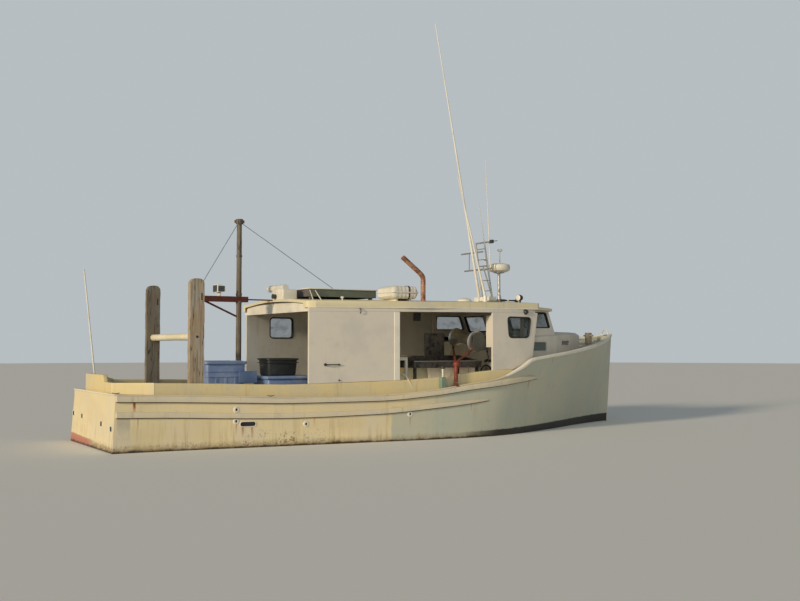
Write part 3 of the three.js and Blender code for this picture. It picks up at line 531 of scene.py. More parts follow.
@dataclass(frozen=True)
class Paint(Finish):
    """Brushed paint out in the weather: it fades in clouds, drips dirt, chips and wears through.

    Attributes:
        colour: The paint.
        faded: Its sun-bleached stretches.
        grime: What runs down it.
        chip: What shows through its chips.
        dirt: How much grime there is, from 0 to 1.
        wear: How much is chipped, from 0 to 1.
        gloss: Roughness where it is clean.
        brush: Depth of the brush marks in metres.
    """

    colour: Colour = (226, 220, 204)
    faded: Colour = (212, 208, 196)
    grime: Colour = (128, 112, 86)
    chip: Colour = (120, 104, 84)
    dirt: float = 0.4
    wear: float = 0.15
    gloss: float = 0.42
    brush: float = 0.0008

    def weather(self, graph: Graph, colour: object, faded: object = None) -> Flow:
        """Lays fading, dirt and chips over a colour, and sets the roughness and the brush marks."""
        cloud = graph.noise(1.7, detail=5.0, rough=0.6)
        runs = graph.noise(9.0, (1, 1, 0.09), detail=4.0, rough=0.6)
        speck = graph.noise(38.0, detail=4.0, rough=0.7)
        soil = graph.noise(4.2, detail=6.0, rough=0.7, warp=0.4)
        base = graph.mix(colour, self.faded if faded is None else faded, cloud.step(0.42, 0.68))
        grimy = runs.step(0.56, 0.78) * 0.55 + soil.step(0.55, 0.8) * 0.45
        base = graph.mix(base, self.grime, grimy * self.dirt)
        chipped = (speck * 0.5 + cloud * 0.5).step(0.66 - 0.1 * self.wear, 0.72 - 0.1 * self.wear)
        base = graph.mix(base, self.chip, chipped * min(1.0, self.wear * 3))
        graph.feed("Roughness", grimy * 0.25 + cloud * 0.12 + (self.gloss - 0.06))
        strokes = graph.noise(60.0, (1, 1, 0.18), detail=3.0)
        graph.relief(strokes * 0.5 + soil * 0.5 - chipped * 0.4, self.brush)
        return base

    def paint(self, graph: Graph) -> None:
        """One paint all over."""
        graph.feed("Base Color", self.weather(graph, self.colour))


@dataclass(frozen=True)
class Run:
    """A run of rust down the topside: where it starts, how long and wide it is, and its strength."""

    x: float
    top: float
    length: float
    width: float
    strength: float = 0.8


@dataclass(frozen=True)
class HullPaint(Paint):
    """The topsides: cream aft and grey-white forward of a repaint line, stained up from the water.

    Attributes:
        forward: The paint forward of the line.
        forward_faded: Where that paint has faded.
        line: Where that paint begins, from the transom.
        guarded: Height above which the cream carries on forward.
        patch: The grey filler at the quarter.
        deck: The paint of all that faces up.
        red: What is left of the boot stripe at the stern.
        growth: Weed and slime at the water.
        bottom: The paint below the water.
        sunned: Cream that the sun has darkened.
        yellowed: Old drips.
        splashed: Dirt thrown up from the water.
        scum: The film just above it.
        stained: Brown stains aft.
        smeared: What covers the boot stripe on the starboard side.
        boot: The dark line at the water forward.
        trodden: Dirt on what faces up.
        rust: Rust.
        runs: Rust runs on the sides.
    """

    forward: Colour = (196, 194, 172)
    forward_faded: Colour = (188, 192, 174)
    line: float = 4.77
    guarded: float = 0.60
    patch: Colour = (186, 178, 160)
    deck: Colour = (168, 164, 148)
    red: Colour = (178, 96, 80)
    growth: Colour = (58, 44, 28)
    bottom: Colour = (88, 40, 32)
    sunned: Colour = (220, 201, 158)
    yellowed: Colour = (176, 150, 98)
    splashed: Colour = (92, 82, 62)
    scum: Colour = (142, 122, 80)
    stained: Colour = (112, 80, 52)
    smeared: Colour = (120, 92, 62)
    boot: Colour = (44, 38, 34)
    trodden: Colour = (128, 120, 100)
    rust: Colour = (166, 88, 38)
    runs: tuple[Run, ...] = (
        Run(0.345, 0.79, 0.2, 0.03, 1.4),
        Run(0.40, 0.52, 0.2, 0.02, 0.5),
        Run(1.99, 0.43, 0.26, 0.02, 0.7),
        Run(2.10, 0.35, 0.22, 0.03, 0.8),
        Run(2.26, 0.35, 0.28, 0.03, 0.75),
        Run(3.35, 0.46, 0.2, 0.025, 0.35),
        Run(5.147, 0.44, 0.2, 0.02, 0.6),
        Run(6.42, 0.62, 0.18, 0.02, 0.5),
        Run(7.87, 1.08, 0.32, 0.022, 0.9),
        Run(8.45, 1.48, 0.2, 0.018, 0.6),
        Run(9.6, 1.6, 0.25, 0.02, 0.3),
    )

    def paint(self, graph: Graph) -> None:
        """Builds the colours by their place along the side and above the water."""
        x, y, z = graph.axes()
        edge = graph.noise(5.0, detail=5.0, rough=0.65)
        fine = graph.noise(26.0, detail=5.0, rough=0.7)
        drips = graph.noise(14.0, (1, 1, 0.07), detail=4.0, rough=0.65)
        below = (z + edge * 0.04).step(self.guarded + 0.06, self.guarded - 0.02)
        forward = (x + edge * 0.05).step(self.line + 0.02, self.line + 0.06) * below
        forward = forward | (x + edge * 0.6).step(5.0, 6.6)
        base = graph.mix(self.colour, self.forward, forward)
        shade = graph.noise(0.9, (1, 1, 2.5), detail=4.0).step(0.4, 0.65)
        base = graph.mix(base, self.sunned, shade * (1 - forward) * 0.5)
        patch = (x + edge * 0.03).step(0.30, 0.28) * (z + edge * 0.05).step(0.58, 0.55)
        base = graph.mix(base, self.patch, patch * x.step(0.06, 0.085) * 0.85)
        base = self.weather(graph, base, graph.mix(self.faded, self.forward_faded, forward))
        yellow = drips.step(0.5, 0.72) * z.step(0.75, 0.1) * 0.5
        base = graph.mix(base, self.yellowed, yellow * (1 - forward * 0.75))
        for run in self.runs:
            down = z.step(run.top - run.length, run.top - 0.02) * z.step(run.top + 0.015, run.top)
            across = (x + edge * 0.03 - 0.015).far(run.x).step(run.width, run.width * 0.2)
            base = graph.mix(base, self.rust, down * across * (fine * 0.5 + 0.6) * run.strength)
        low = (z + edge * 0.04 - y * 0.03).step(0.15, 0.13) * x.step(0.16, 0.08)
        port = (y + edge * 0.5).step(-0.1, 0.5)
        starboard = (y + edge * 0.5).step(0.5, -0.1)
        splash = (fine * 0.5 + edge * 0.5).step(0.52, 0.6) * z.step(0.34, 0.16) * x.far(2.75).step(1.1, 0.5)
        stain = (fine * 0.6 + edge * 0.4).step(0.5, 0.6) * (z + edge * 0.12).step(0.24, 0.1) * x.step(4.6, 3.2)
        for colour, share in (
            (self.splashed, splash * 0.7),
            (self.scum, (z + edge * 0.16 - drips * 0.12).step(0.16, 0.02) * 0.7),
            (self.stained, stain * 0.75),
            (self.red, low * port * 0.8),
            (self.smeared, low * starboard * fine.step(0.4, 0.6) * 0.7),
            (self.boot, x.step(5.9, 7.2) * (z + edge * 0.03 - x * 0.014).step(0.045, 0.02)),
            (self.growth, (z + edge * 0.11 + fine * 0.05).step(0.13, 0.085)),
            (self.bottom, (z + fine * 0.03).step(-0.02, -0.06)),
        ):
            base = graph.mix(base, colour, share)
        normal = graph.node("ShaderNodeNewGeometry", out=1)
        facing = graph.node("ShaderNodeSeparateXYZ", sockets={0: normal}, out=2)
        deck = graph.mix(self.deck, self.trodden, (edge * 0.6 + fine * 0.4).step(0.45, 0.7) * 0.6)
        graph.feed("Base Color", graph.mix(base, deck, facing.step(0.7, 0.85) * z.step(0.1, 0.2)))


@dataclass(frozen=True)
class Timber(Finish):
    """Bare weathered timber: grain drawn out along one axis, silvered, checked and stained.

    Attributes:
        colour: The sound wood.
        silver: The weathered grey over it.
        dark: Cracks and stains.
        grain: Stretch of the grain along the three axes.
    """

    colour: Colour = (172, 148, 116)
    silver: Colour = (176, 166, 148)
    dark: Colour = (84, 68, 50)
    grain: tuple[float, float, float] = (1, 1, 0.05)

    def paint(self, graph: Graph) -> None:
        """Builds the grain, the checks and the stains."""
        fibre = graph.noise(46.0, self.grain, detail=6.0, rough=0.6, warp=0.6)
        rings = graph.noise(12.0, self.grain, detail=3.0, warp=1.2)
        cloud = graph.noise(3.0, detail=4.0, rough=0.6)
        check = graph.noise(30.0, tuple(0.5 * g for g in self.grain), detail=2.0, warp=0.3)
        base = graph.mix(self.colour, self.silver, (cloud * 0.6 + rings * 0.4).step(0.38, 0.62))
        base = graph.mix(base, self.dark, fibre.step(0.5, 0.72) * 0.45)
        crack = check.far(0.5).step(0.018, 0.004)
        base = graph.mix(base, self.dark, crack * 0.85 | cloud.step(0.62, 0.8) * 0.4)
        graph.feed("Base Color", base)
        graph.feed("Roughness", fibre * 0.2 + 0.68)
        graph.relief(fibre * 0.5 + rings * 0.3 - crack * 0.8, 0.004)


@dataclass(frozen=True)
class OldSteel(Finish):
    """Painted steel that rusts through.

    Attributes:
        colour: What is left of the paint.
        rust: The rust.
        bare: Share of the paint that is gone, from 0 to 1.
        rough: Depth of the scale in metres.
    """

    colour: Colour = (120, 48, 34)
    rust: Colour = (112, 66, 40)
    bare: float = 0.55
    rough: float = 0.0015

    def paint(self, graph: Graph) -> None:
        """Builds the scale and the paint left between."""
        scale = graph.noise(11.0, detail=7.0, rough=0.7, warp=0.5)
        fine = graph.noise(70.0, detail=5.0, rough=0.7)
        gone = scale.step(0.72 - 0.4 * self.bare, 0.8 - 0.4 * self.bare)
        rusty = graph.mix(self.rust, (66, 40, 28), fine.step(0.4, 0.7))
        graph.feed("Base Color", graph.mix(self.colour, rusty, gone))
        graph.feed("Roughness", gone * 0.3 + fine * 0.1 + 0.5)
        graph.feed("Metallic", 0.15)
        graph.relief(fine * 0.6 + gone * 0.6, self.rough)


@dataclass(frozen=True)
class Metal(Finish):
    """Bare metal, worn and smeared.

    Attributes:
        colour: The metal.
        smear: Dirt and oxide on it.
        polish: Roughness where it is bright.
        dirt: Share that is smeared.
    """

    colour: Colour = (196, 190, 182)
    smear: Colour = (110, 96, 78)
    polish: float = 0.22
    dirt: float = 0.35

    def paint(self, graph: Graph) -> None:
        """Builds the scratches and the smears."""
        cloud = graph.noise(9.0, detail=5.0, rough=0.65)
        scratch = graph.noise(90.0, detail=3.0)
        dull = cloud.step(0.62 - 0.3 * self.dirt, 0.9 - 0.3 * self.dirt)
        graph.feed("Base Color", graph.mix(self.colour, self.smear, dull))
        graph.feed("Metallic", 1 - dull * 0.55)
        graph.feed("Roughness", scratch * 0.16 + dull * 0.35 + self.polish)
        graph.relief(scratch * 0.6 + cloud * 0.4, 0.0006)


@dataclass(frozen=True)
class Plastic(Finish):
    """Moulded plastic: scuffed, dusted and bleached.

    Attributes:
        colour: The plastic.
        bleached: Where the sun has reached it.
        dirt: The dirt on it.
        gloss: Its roughness.
        coat: Weight of a clear gloss over it.
        soil: Share of the dirt that shows.
    """

    colour: Colour = (70, 96, 150)
    bleached: Colour = (112, 132, 170)
    dirt: Colour = (96, 90, 78)
    gloss: float = 0.45
    coat: float = 0.0
    soil: float = 0.35

    def paint(self, graph: Graph) -> None:
        """Builds the bleaching, the dirt and the scuffs."""
        cloud = graph.noise(2.6, detail=5.0, rough=0.6)
        scuff = graph.noise(34.0, (1, 1, 0.5), detail=5.0, rough=0.7, warp=0.4)
        grain = graph.noise(240.0, detail=2.0)
        base = graph.mix(self.colour, self.bleached, cloud.step(0.4, 0.68))
        soiled = scuff.step(0.54, 0.74)
        graph.feed("Base Color", graph.mix(base, self.dirt, soiled * self.soil))
        graph.feed("Roughness", soiled * 0.2 + cloud * 0.1 + (self.gloss - 0.05))
        graph.feed("Coat Weight", self.coat)
        graph.relief(grain * 0.5 + scuff * 0.5, 0.0005)


@dataclass(frozen=True)
class Glass(Finish):
    """Dusty window glass that shows a grey-green depth.

    Attributes:
        tint: The colour of its depth.
        cover: How much of what is behind it is hidden.
    """

    tint: Colour = (58, 70, 66)
    cover: float = 0.34

    def paint(self, graph: Graph) -> None:
        """Builds the tint and the salt haze."""
        haze = graph.noise(5.0, (1, 1, 1.6), detail=4.0, warp=0.5).step(0.45, 0.75)
        graph.feed("Base Color", graph.mix(self.tint, (128, 138, 132), haze * 0.5))
        graph.feed("Roughness", haze * 0.12 + 0.04)
        graph.feed("Alpha", haze * 0.2 + self.cover)
        graph.feed("Coat Weight", 0.6)


class Palette:
    """The finishes of the boat, by what they are used on."""

    HULL = HullPaint(
        "topside_paint", "hull_paint", colour=(234, 217, 172), faded=(226, 213, 180), grime=(150, 128, 90),
        chip=(150, 126, 96), dirt=0.38, wear=0.16, gloss=0.42, brush=0.0014,
    )
    GUARD = Paint(
        "guard_paint", "hull_paint", colour=(222, 209, 178), faded=(210, 201, 182), grime=(122, 104, 78),
        chip=(112, 92, 70), dirt=0.6, wear=0.45, gloss=0.5, brush=0.003,
    )
    CAP = Paint(
        "cap_paint", "hull_paint", colour=(232, 222, 188), faded=(214, 210, 194), grime=(126, 104, 72),
        chip=(118, 96, 72), dirt=0.5, wear=0.4, gloss=0.48, brush=0.002,
    )
    BULWARK = Paint(
        "bulwark_paint", "hull_paint", colour=(226, 206, 152), faded=(214, 200, 164), grime=(138, 112, 74),
        chip=(120, 98, 74), dirt=0.5, wear=0.25, gloss=0.46, brush=0.0014,
    )
    CABIN = Paint(
        "cabin_paint", "cabin_white", colour=(222, 213, 196), faded=(210, 203, 190), grime=(150, 136, 112),
        chip=(140, 122, 100), dirt=0.32, wear=0.08, gloss=0.44, brush=0.0008,
    )
    TRIM = Paint(
        "trim_paint", "cabin_white", colour=(236, 230, 212), faded=(220, 214, 198), grime=(140, 124, 98),
        chip=(128, 108, 84), dirt=0.4, wear=0.3, gloss=0.4, brush=0.001,
    )
    INSIDE = Paint(
        "inside_paint", "cabin_white", colour=(226, 223, 213), faded=(214, 211, 200), grime=(130, 122, 104),
        chip=(120, 108, 90), dirt=0.45, wear=0.15, gloss=0.55, brush=0.001,
    )
    ROOF = Paint(
        "roof_paint", "roof_cream", colour=(226, 214, 174), faded=(214, 206, 180), grime=(134, 118, 84),
        chip=(126, 108, 80), dirt=0.5, wear=0.2, gloss=0.5, brush=0.001,
    )
    POST = Timber("post_timber", "grey_wood")
    # The port post's timber is a darker copy of the post timber: painted shade, for the shade on that post's
    # face.
    POST_SHADED = Timber(
        "post_timber_port_shaded", "grey_wood", colour=(128, 114, 94), silver=(132, 126, 112), dark=(60, 52, 42)
    )
    PLANK = Timber(
        "plank_timber", "grey_wood", colour=(196, 160, 112), silver=(186, 164, 128), grain=(0.05, 1, 1)
    )
    MAST = Timber(
        "mast_timber", "rusty_steel", colour=(112, 98, 80), silver=(128, 122, 108), dark=(52, 44, 36)
    )
    # Dark strip under the guards: painted shadow, the shade line under each guard.
    GUARD_SHADOW = Timber(
        "guard_painted_shadow", "hull_paint", colour=(96, 82, 62), silver=(112, 98, 76), dark=(62, 50, 36),
        grain=(0.1, 1, 1),
    )
    RED_STEEL = OldSteel("red_steel", "rusty_steel", colour=(142, 66, 50), bare=0.6)
    BEAM = OldSteel("beam_steel", "rusty_steel", colour=(98, 46, 36), rust=(88, 54, 38), bare=0.5)
    RUST = OldSteel("rusted_steel", "rusty_steel", colour=(178, 132, 104), rust=(150, 104, 76), bare=0.55)
    DARK_STEEL = OldSteel("dark_steel", "dark_steel", colour=(52, 50, 48), rust=(88, 62, 44), bare=0.3)
    DRUM = Metal(
        "drum_steel", "bright_steel", colour=(194, 192, 182), smear=(128, 120, 104), polish=0.34, dirt=0.4
    )
    # Dark grey of the hauler's guard plate: partly painted shade, the shade on the near flange's face, and
    # partly dirt.
    SHADED_PLATE = OldSteel("plate_steel_shaded", "dark_steel", colour=(74, 76, 68), rust=(84, 74, 58), bare=0.3)
    TABLE = Metal(
        "table_steel", "dark_steel", colour=(120, 114, 106), smear=(48, 44, 38), polish=0.34, dirt=0.75
    )
    ALLOY = Metal(
        "alloy_tube", "aluminium_tube", colour=(204, 204, 202), smear=(150, 142, 128), polish=0.36, dirt=0.5
    )
    BRONZE = Metal("bronze", "bronze", colour=(176, 130, 72), smear=(84, 92, 66), polish=0.3, dirt=0.4)
    IRON = OldSteel("engine_paint", "engine_iron", colour=(62, 78, 84), rust=(70, 50, 38), bare=0.25)
    BOTTOM = OldSteel("bottom_paint", "bottom_paint", colour=(104, 44, 34), rust=(70, 62, 48), bare=0.4)
    BLUE = Plastic("blue_tub", "blue_plastic", colour=(118, 140, 182), bleached=(146, 162, 194))
    BLUE_PALE = Plastic("blue_lid", "blue_plastic", colour=(116, 138, 176), bleached=(156, 172, 198))
    BLACK = Plastic(
        "black_plastic", "black_plastic", colour=(40, 44, 44), bleached=(62, 66, 64), dirt=(104, 98, 84)
    )
    RUBBER = Plastic(
        "window_rubber", "black_plastic", colour=(26, 27, 28), bleached=(44, 44, 44), gloss=0.6, soil=0.2
    )
    GLOSS = Plastic(
        "white_moulding", "white_gloss", colour=(234, 230, 218), bleached=(222, 216, 198),
        dirt=(140, 126, 98),
        gloss=0.32, coat=0.3, soil=0.4,
    )
    ROLLER = Plastic(
        "roller_sleeve", "roller_cream", colour=(228, 218, 184), bleached=(238, 230, 204),
        dirt=(146, 126, 90),
        gloss=0.5, soil=0.5,
    )
    RACK = Plastic(
        "rack_sheet", "aluminium_tube", colour=(98, 106, 92), bleached=(112, 118, 102), dirt=(76, 74, 60),
        gloss=0.6,
    )
    # Purplish dark grey for the rack's aft end: painted shade, the shade behind the locker on that face.
    RACK_END_SHADE = Plastic(
        "rack_end_painted_shade", "aluminium_tube", colour=(88, 80, 86), bleached=(104, 96, 98), dirt=(70, 64, 58),
        gloss=0.6,
    )
    TEAL = Paint(
        "teal_paint", "cabin_white", colour=(112, 140, 124), faded=(140, 156, 136), grime=(84, 84, 66),
        dirt=0.6, wear=0.5,
    )
    GLASS = Glass("window_glass", "black_plastic")
    DARK_GLASS = Glass("cuddy_glass", "black_plastic", tint=(112, 122, 112), cover=0.8)
    LAMP_GLASS = Glass("lamp_glass", "black_plastic", tint=(62, 66, 66), cover=0.8)


# The yard


def linked(name: str, data: bpy.types.ID) -> bpy.types.Object:
    """A new object in the scene."""
    thing = bpy.data.objects.new(name, data)
    bpy.context.collection.objects.link(thing)
    return thing


def coat(thing: bpy.types.Object, finish: Finish) -> None:
    """Gives an object one finish in place of its materials."""
    thing.data.materials.clear()
    thing.data.materials.append(material_of(finish))


def soften(mesh: bpy.types.Mesh, sharp: float) -> None:
    """Shades a mesh smooth but for the edges sharper than an angle in degrees."""
    mesh.shade_smooth()
    mesh.set_sharp_from_angle(angle=math.radians(sharp))


@dataclass
class Yard:
    """Where pieces are finished: it makes their meshes, dresses them and sets them on their bodies."""

    frame: dict

    def made(self, name: str, form: Form, sharp: float = 32.0) -> bpy.types.Object:
        """Puts a form into a mesh in the frame, smooth but for the edges sharper than an angle."""
        mesh = bpy.data.meshes.new(name)
        corners = form.points + np.array([TRANSOM, 0, 0])
        mesh.from_pydata(corners.tolist(), [], [face for block in form.faces for face in block.tolist()])
        mesh.validate()
        soften(mesh, sharp)
        return linked(name, mesh)

    def place(
        self,
        name: str,
        form: Form | Sequence[Form] | bpy.types.Object,
        finish: Finish,
        replaces: Sequence[str] = (),
        body: Body = Body.BOAT,
        bevel: float = 0.0,
        sharp: float = 32.0,
    ) -> bpy.types.Object:
        """Finishes one piece.

        Args:
            name: Its name.
            form: Its shape or shapes, or an object that is already made.
            finish: What it is finished with.
            replaces: The nodes that it stands for.
            body: What it rides on.
            bevel: Width that its sharp edges are broken by.
            sharp: Angle in degrees above which an edge counts as sharp.

        Returns:
            The piece.
        """
        if isinstance(form, (list, tuple)):
            form = Form.joined(form)
        piece = self.made(name, form, sharp) if isinstance(form, Form) else form
        if bevel:
            self.break_edges(piece, bevel, sharp)
        coat(piece, finish)
        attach(piece, body.value)
        if replaces:
            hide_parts(*replaces)
        LOG.info("%s: %d faces, %s", name, len(piece.data.polygons), finish.name)
        return piece

    def break_edges(self, piece: bpy.types.Object, width: float, sharp: float) -> None:
        """Rounds off the sharp edges of a piece with a Bevel modifier."""
        bevel = piece.modifiers.new("edges", "BEVEL")
        bevel.width = width
        bevel.segments = 2
        bevel.limit_method = "ANGLE"
        bevel.angle_limit = math.radians(sharp)
        bevel.harden_normals = True

    def copied(self, name: str, node: str, sharp: float) -> bpy.types.Object:
        """A merged copy of a node's mesh, with its flat faces whole again."""
        mesh = self.frame["nodes"][node].data.copy()
        mesh.name = name
        work = bmesh.new()
        work.from_mesh(mesh)
        bmesh.ops.remove_doubles(work, verts=work.verts, dist=1e-5)
        flat = math.radians(0.4)
        bmesh.ops.dissolve_limit(work, angle_limit=flat, verts=work.verts, edges=work.edges)
        work.to_mesh(mesh)
        work.free()
        soften(mesh, sharp)
        return linked(name, mesh)

    def refine(self, node: str, finish: Finish, bevel: float, body: Body = Body.BOAT) -> bpy.types.Object:
        """Stands a copy with softened edges in a node's place."""
        name, sharp = f"{node}_finished", 25.0
        return self.place(name, self.copied(name, node, sharp), finish, (node,), body, bevel, sharp)

    def dress(self, node: str, finish: Finish) -> None:
        """Gives a node that stays its finish."""
        coat(self.frame["nodes"][node], finish)
        LOG.info("%s keeps its mesh, %s", node, finish.name)

    def cut(self, piece: bpy.types.Object, cutters: Sequence[Form]) -> bpy.types.Object:
        """Cuts forms out of a piece and keeps the result as its mesh."""
        for number, form in enumerate(cutters):
            tool = self.made(f"cutter_{number}", form)
            cutter = piece.modifiers.new("cut", "BOOLEAN")
            cutter.operation = "DIFFERENCE"
            cutter.solver = "EXACT"
            cutter.object = tool
            bpy.context.view_layer.update()
            result = bpy.data.meshes.new_from_object(piece.evaluated_get(bpy.context.evaluated_depsgraph_get()))
            piece.modifiers.clear()
            piece.data = result
            bpy.data.objects.remove(tool)
        soften(piece.data, 32)
        return piece


# The hull


@dataclass
class Lines:
    """The lines of the hull, in metres from the transom."""

    # x, half-breadth and height of the deck edge, half-breadth at the water, depth of the bottom, bilge, flare
    stations: Array = field(default_factory=lambda: np.array([
        [0.00, 1.290, 0.905, 1.340, -0.380, 3.0, 1.0],
        [0.70, 1.350, 0.885, 1.365, -0.420, 2.9, 1.0],
        [1.40, 1.430, 0.865, 1.425, -0.460, 2.8, 1.0],
        [2.20, 1.525, 0.835, 1.515, -0.500, 2.7, 1.0],
        [3.13, 1.640, 0.802, 1.615, -0.540, 2.6, 1.0],
        [4.00, 1.735, 0.792, 1.715, -0.570, 2.5, 1.0],
        [4.95, 1.840, 0.825, 1.825, -0.600, 2.4, 1.0],
        [5.70, 1.905, 0.890, 1.900, -0.615, 2.3, 1.0],
        [6.37, 1.955, 0.980, 1.930, -0.620, 2.2, 1.0],
        [6.92, 1.980, 1.045, 1.890, -0.620, 2.1, 1.1],
        [7.27, 1.985, 1.140, 1.820, -0.620, 2.0, 1.2],
        [7.47, 1.982, 1.225, 1.765, -0.620, 2.0, 1.3],
        [7.64, 1.976, 1.300, 1.710, -0.618, 1.9, 1.3],
        [7.88, 1.962, 1.425, 1.620, -0.615, 1.9, 1.4],
        [8.30, 1.915, 1.485, 1.450, -0.610, 1.8, 1.4],
        [8.90, 1.790, 1.552, 1.175, -0.600, 1.7, 1.5],
        [9.50, 1.580, 1.624, 0.890, -0.590, 1.6, 1.5],
        [10.10, 1.290, 1.702, 0.610, -0.580, 1.5, 1.6],
        [10.65, 0.930, 1.780, 0.375, -0.570, 1.5, 1.6],
        [11.10, 0.580, 1.850, 0.205, -0.560, 1.5, 1.6],
        [11.45, 0.270, 1.912, 0.085, -0.560, 1.5, 1.5],
        [11.71, 0.028, 1.960, 0.020, -0.560, 1.5, 1.0],
    ]))
    bulwark_top: Array = field(default_factory=lambda: np.array([
        [0.70, 1.090], [2.16, 1.050], [3.03, 1.030], [3.85, 1.045], [4.96, 1.070], [5.75, 1.115],
        [6.42, 1.185], [7.12, 1.235], [7.47, 1.240],
    ]))
    stem_top: float = 1.96
    stem_x: float = 11.71
    stem_rake: float = 0.16
    forefoot: float = 9.0
    transom_rake: float = 0.06
    keel_flat: float = 0.07

    def edge(self, x: Array) -> Array:
        """Half-breadth of the deck edge."""
        return smooth(self.stations, np.asarray(x, float))[..., 0]

    def sheer(self, x: Array) -> Array:
        """Height of the deck edge."""
        return smooth(self.stations, np.asarray(x, float))[..., 1]

    def skin(self, x: Array, z: Array) -> Array:
        """Half-breadth of the topside: from the water to the deck edge as height to the power of flare."""
        edge, sheer, water, _, _, flare = np.moveaxis(smooth(self.stations, np.asarray(x, float)), -1, 0)
        return water + (edge - water) * np.clip(z / sheer, 0, 1) ** flare

    def setback(self, x: Array, z: Array) -> Array:
        """How far a point lies off its station, for the rake of the stem, the forefoot and the transom."""
        below = 0.9 * np.clip(-z / 0.56, 0, None) ** 1.5
        stem = -(self.stem_rake * (1 - z / self.stem_top) + below) * fade(x, self.forefoot, self.stem_x)
        return stem + z * self.transom_rake * (1 - fade(x, 0, 0.6))

    def loops(self, x: Array) -> Array:
        """Sections from the starboard deck edge under the keel to the port one.

        Below the water the half-breadth and depth follow a superellipse of power bilge, above it the skin.
        """
        edge, sheer, water, bottom, bilge, flare = smooth(self.stations, x).T[..., None]
        flat = np.minimum(self.keel_flat, 0.7 * water)
        turn = np.linspace(0, math.pi / 2, 18)
        low = flat + (water - flat) * np.sin(turn) ** (2 / bilge)
        depth = bottom * np.clip(np.cos(turn), 0, None) ** (2 / bilge)
        t = np.linspace(0, 1, 17)[1:]
        high = water + (edge - water) * t**flare
        y = np.concatenate([low, high], axis=1)
        z = np.concatenate([depth, sheer * t], axis=1)
        half = np.stack([x[:, None] + self.setback(x[:, None], z), y, z], axis=-1)
        return np.concatenate([(half * np.array([1, -1, 1]))[:, ::-1], half], axis=1)


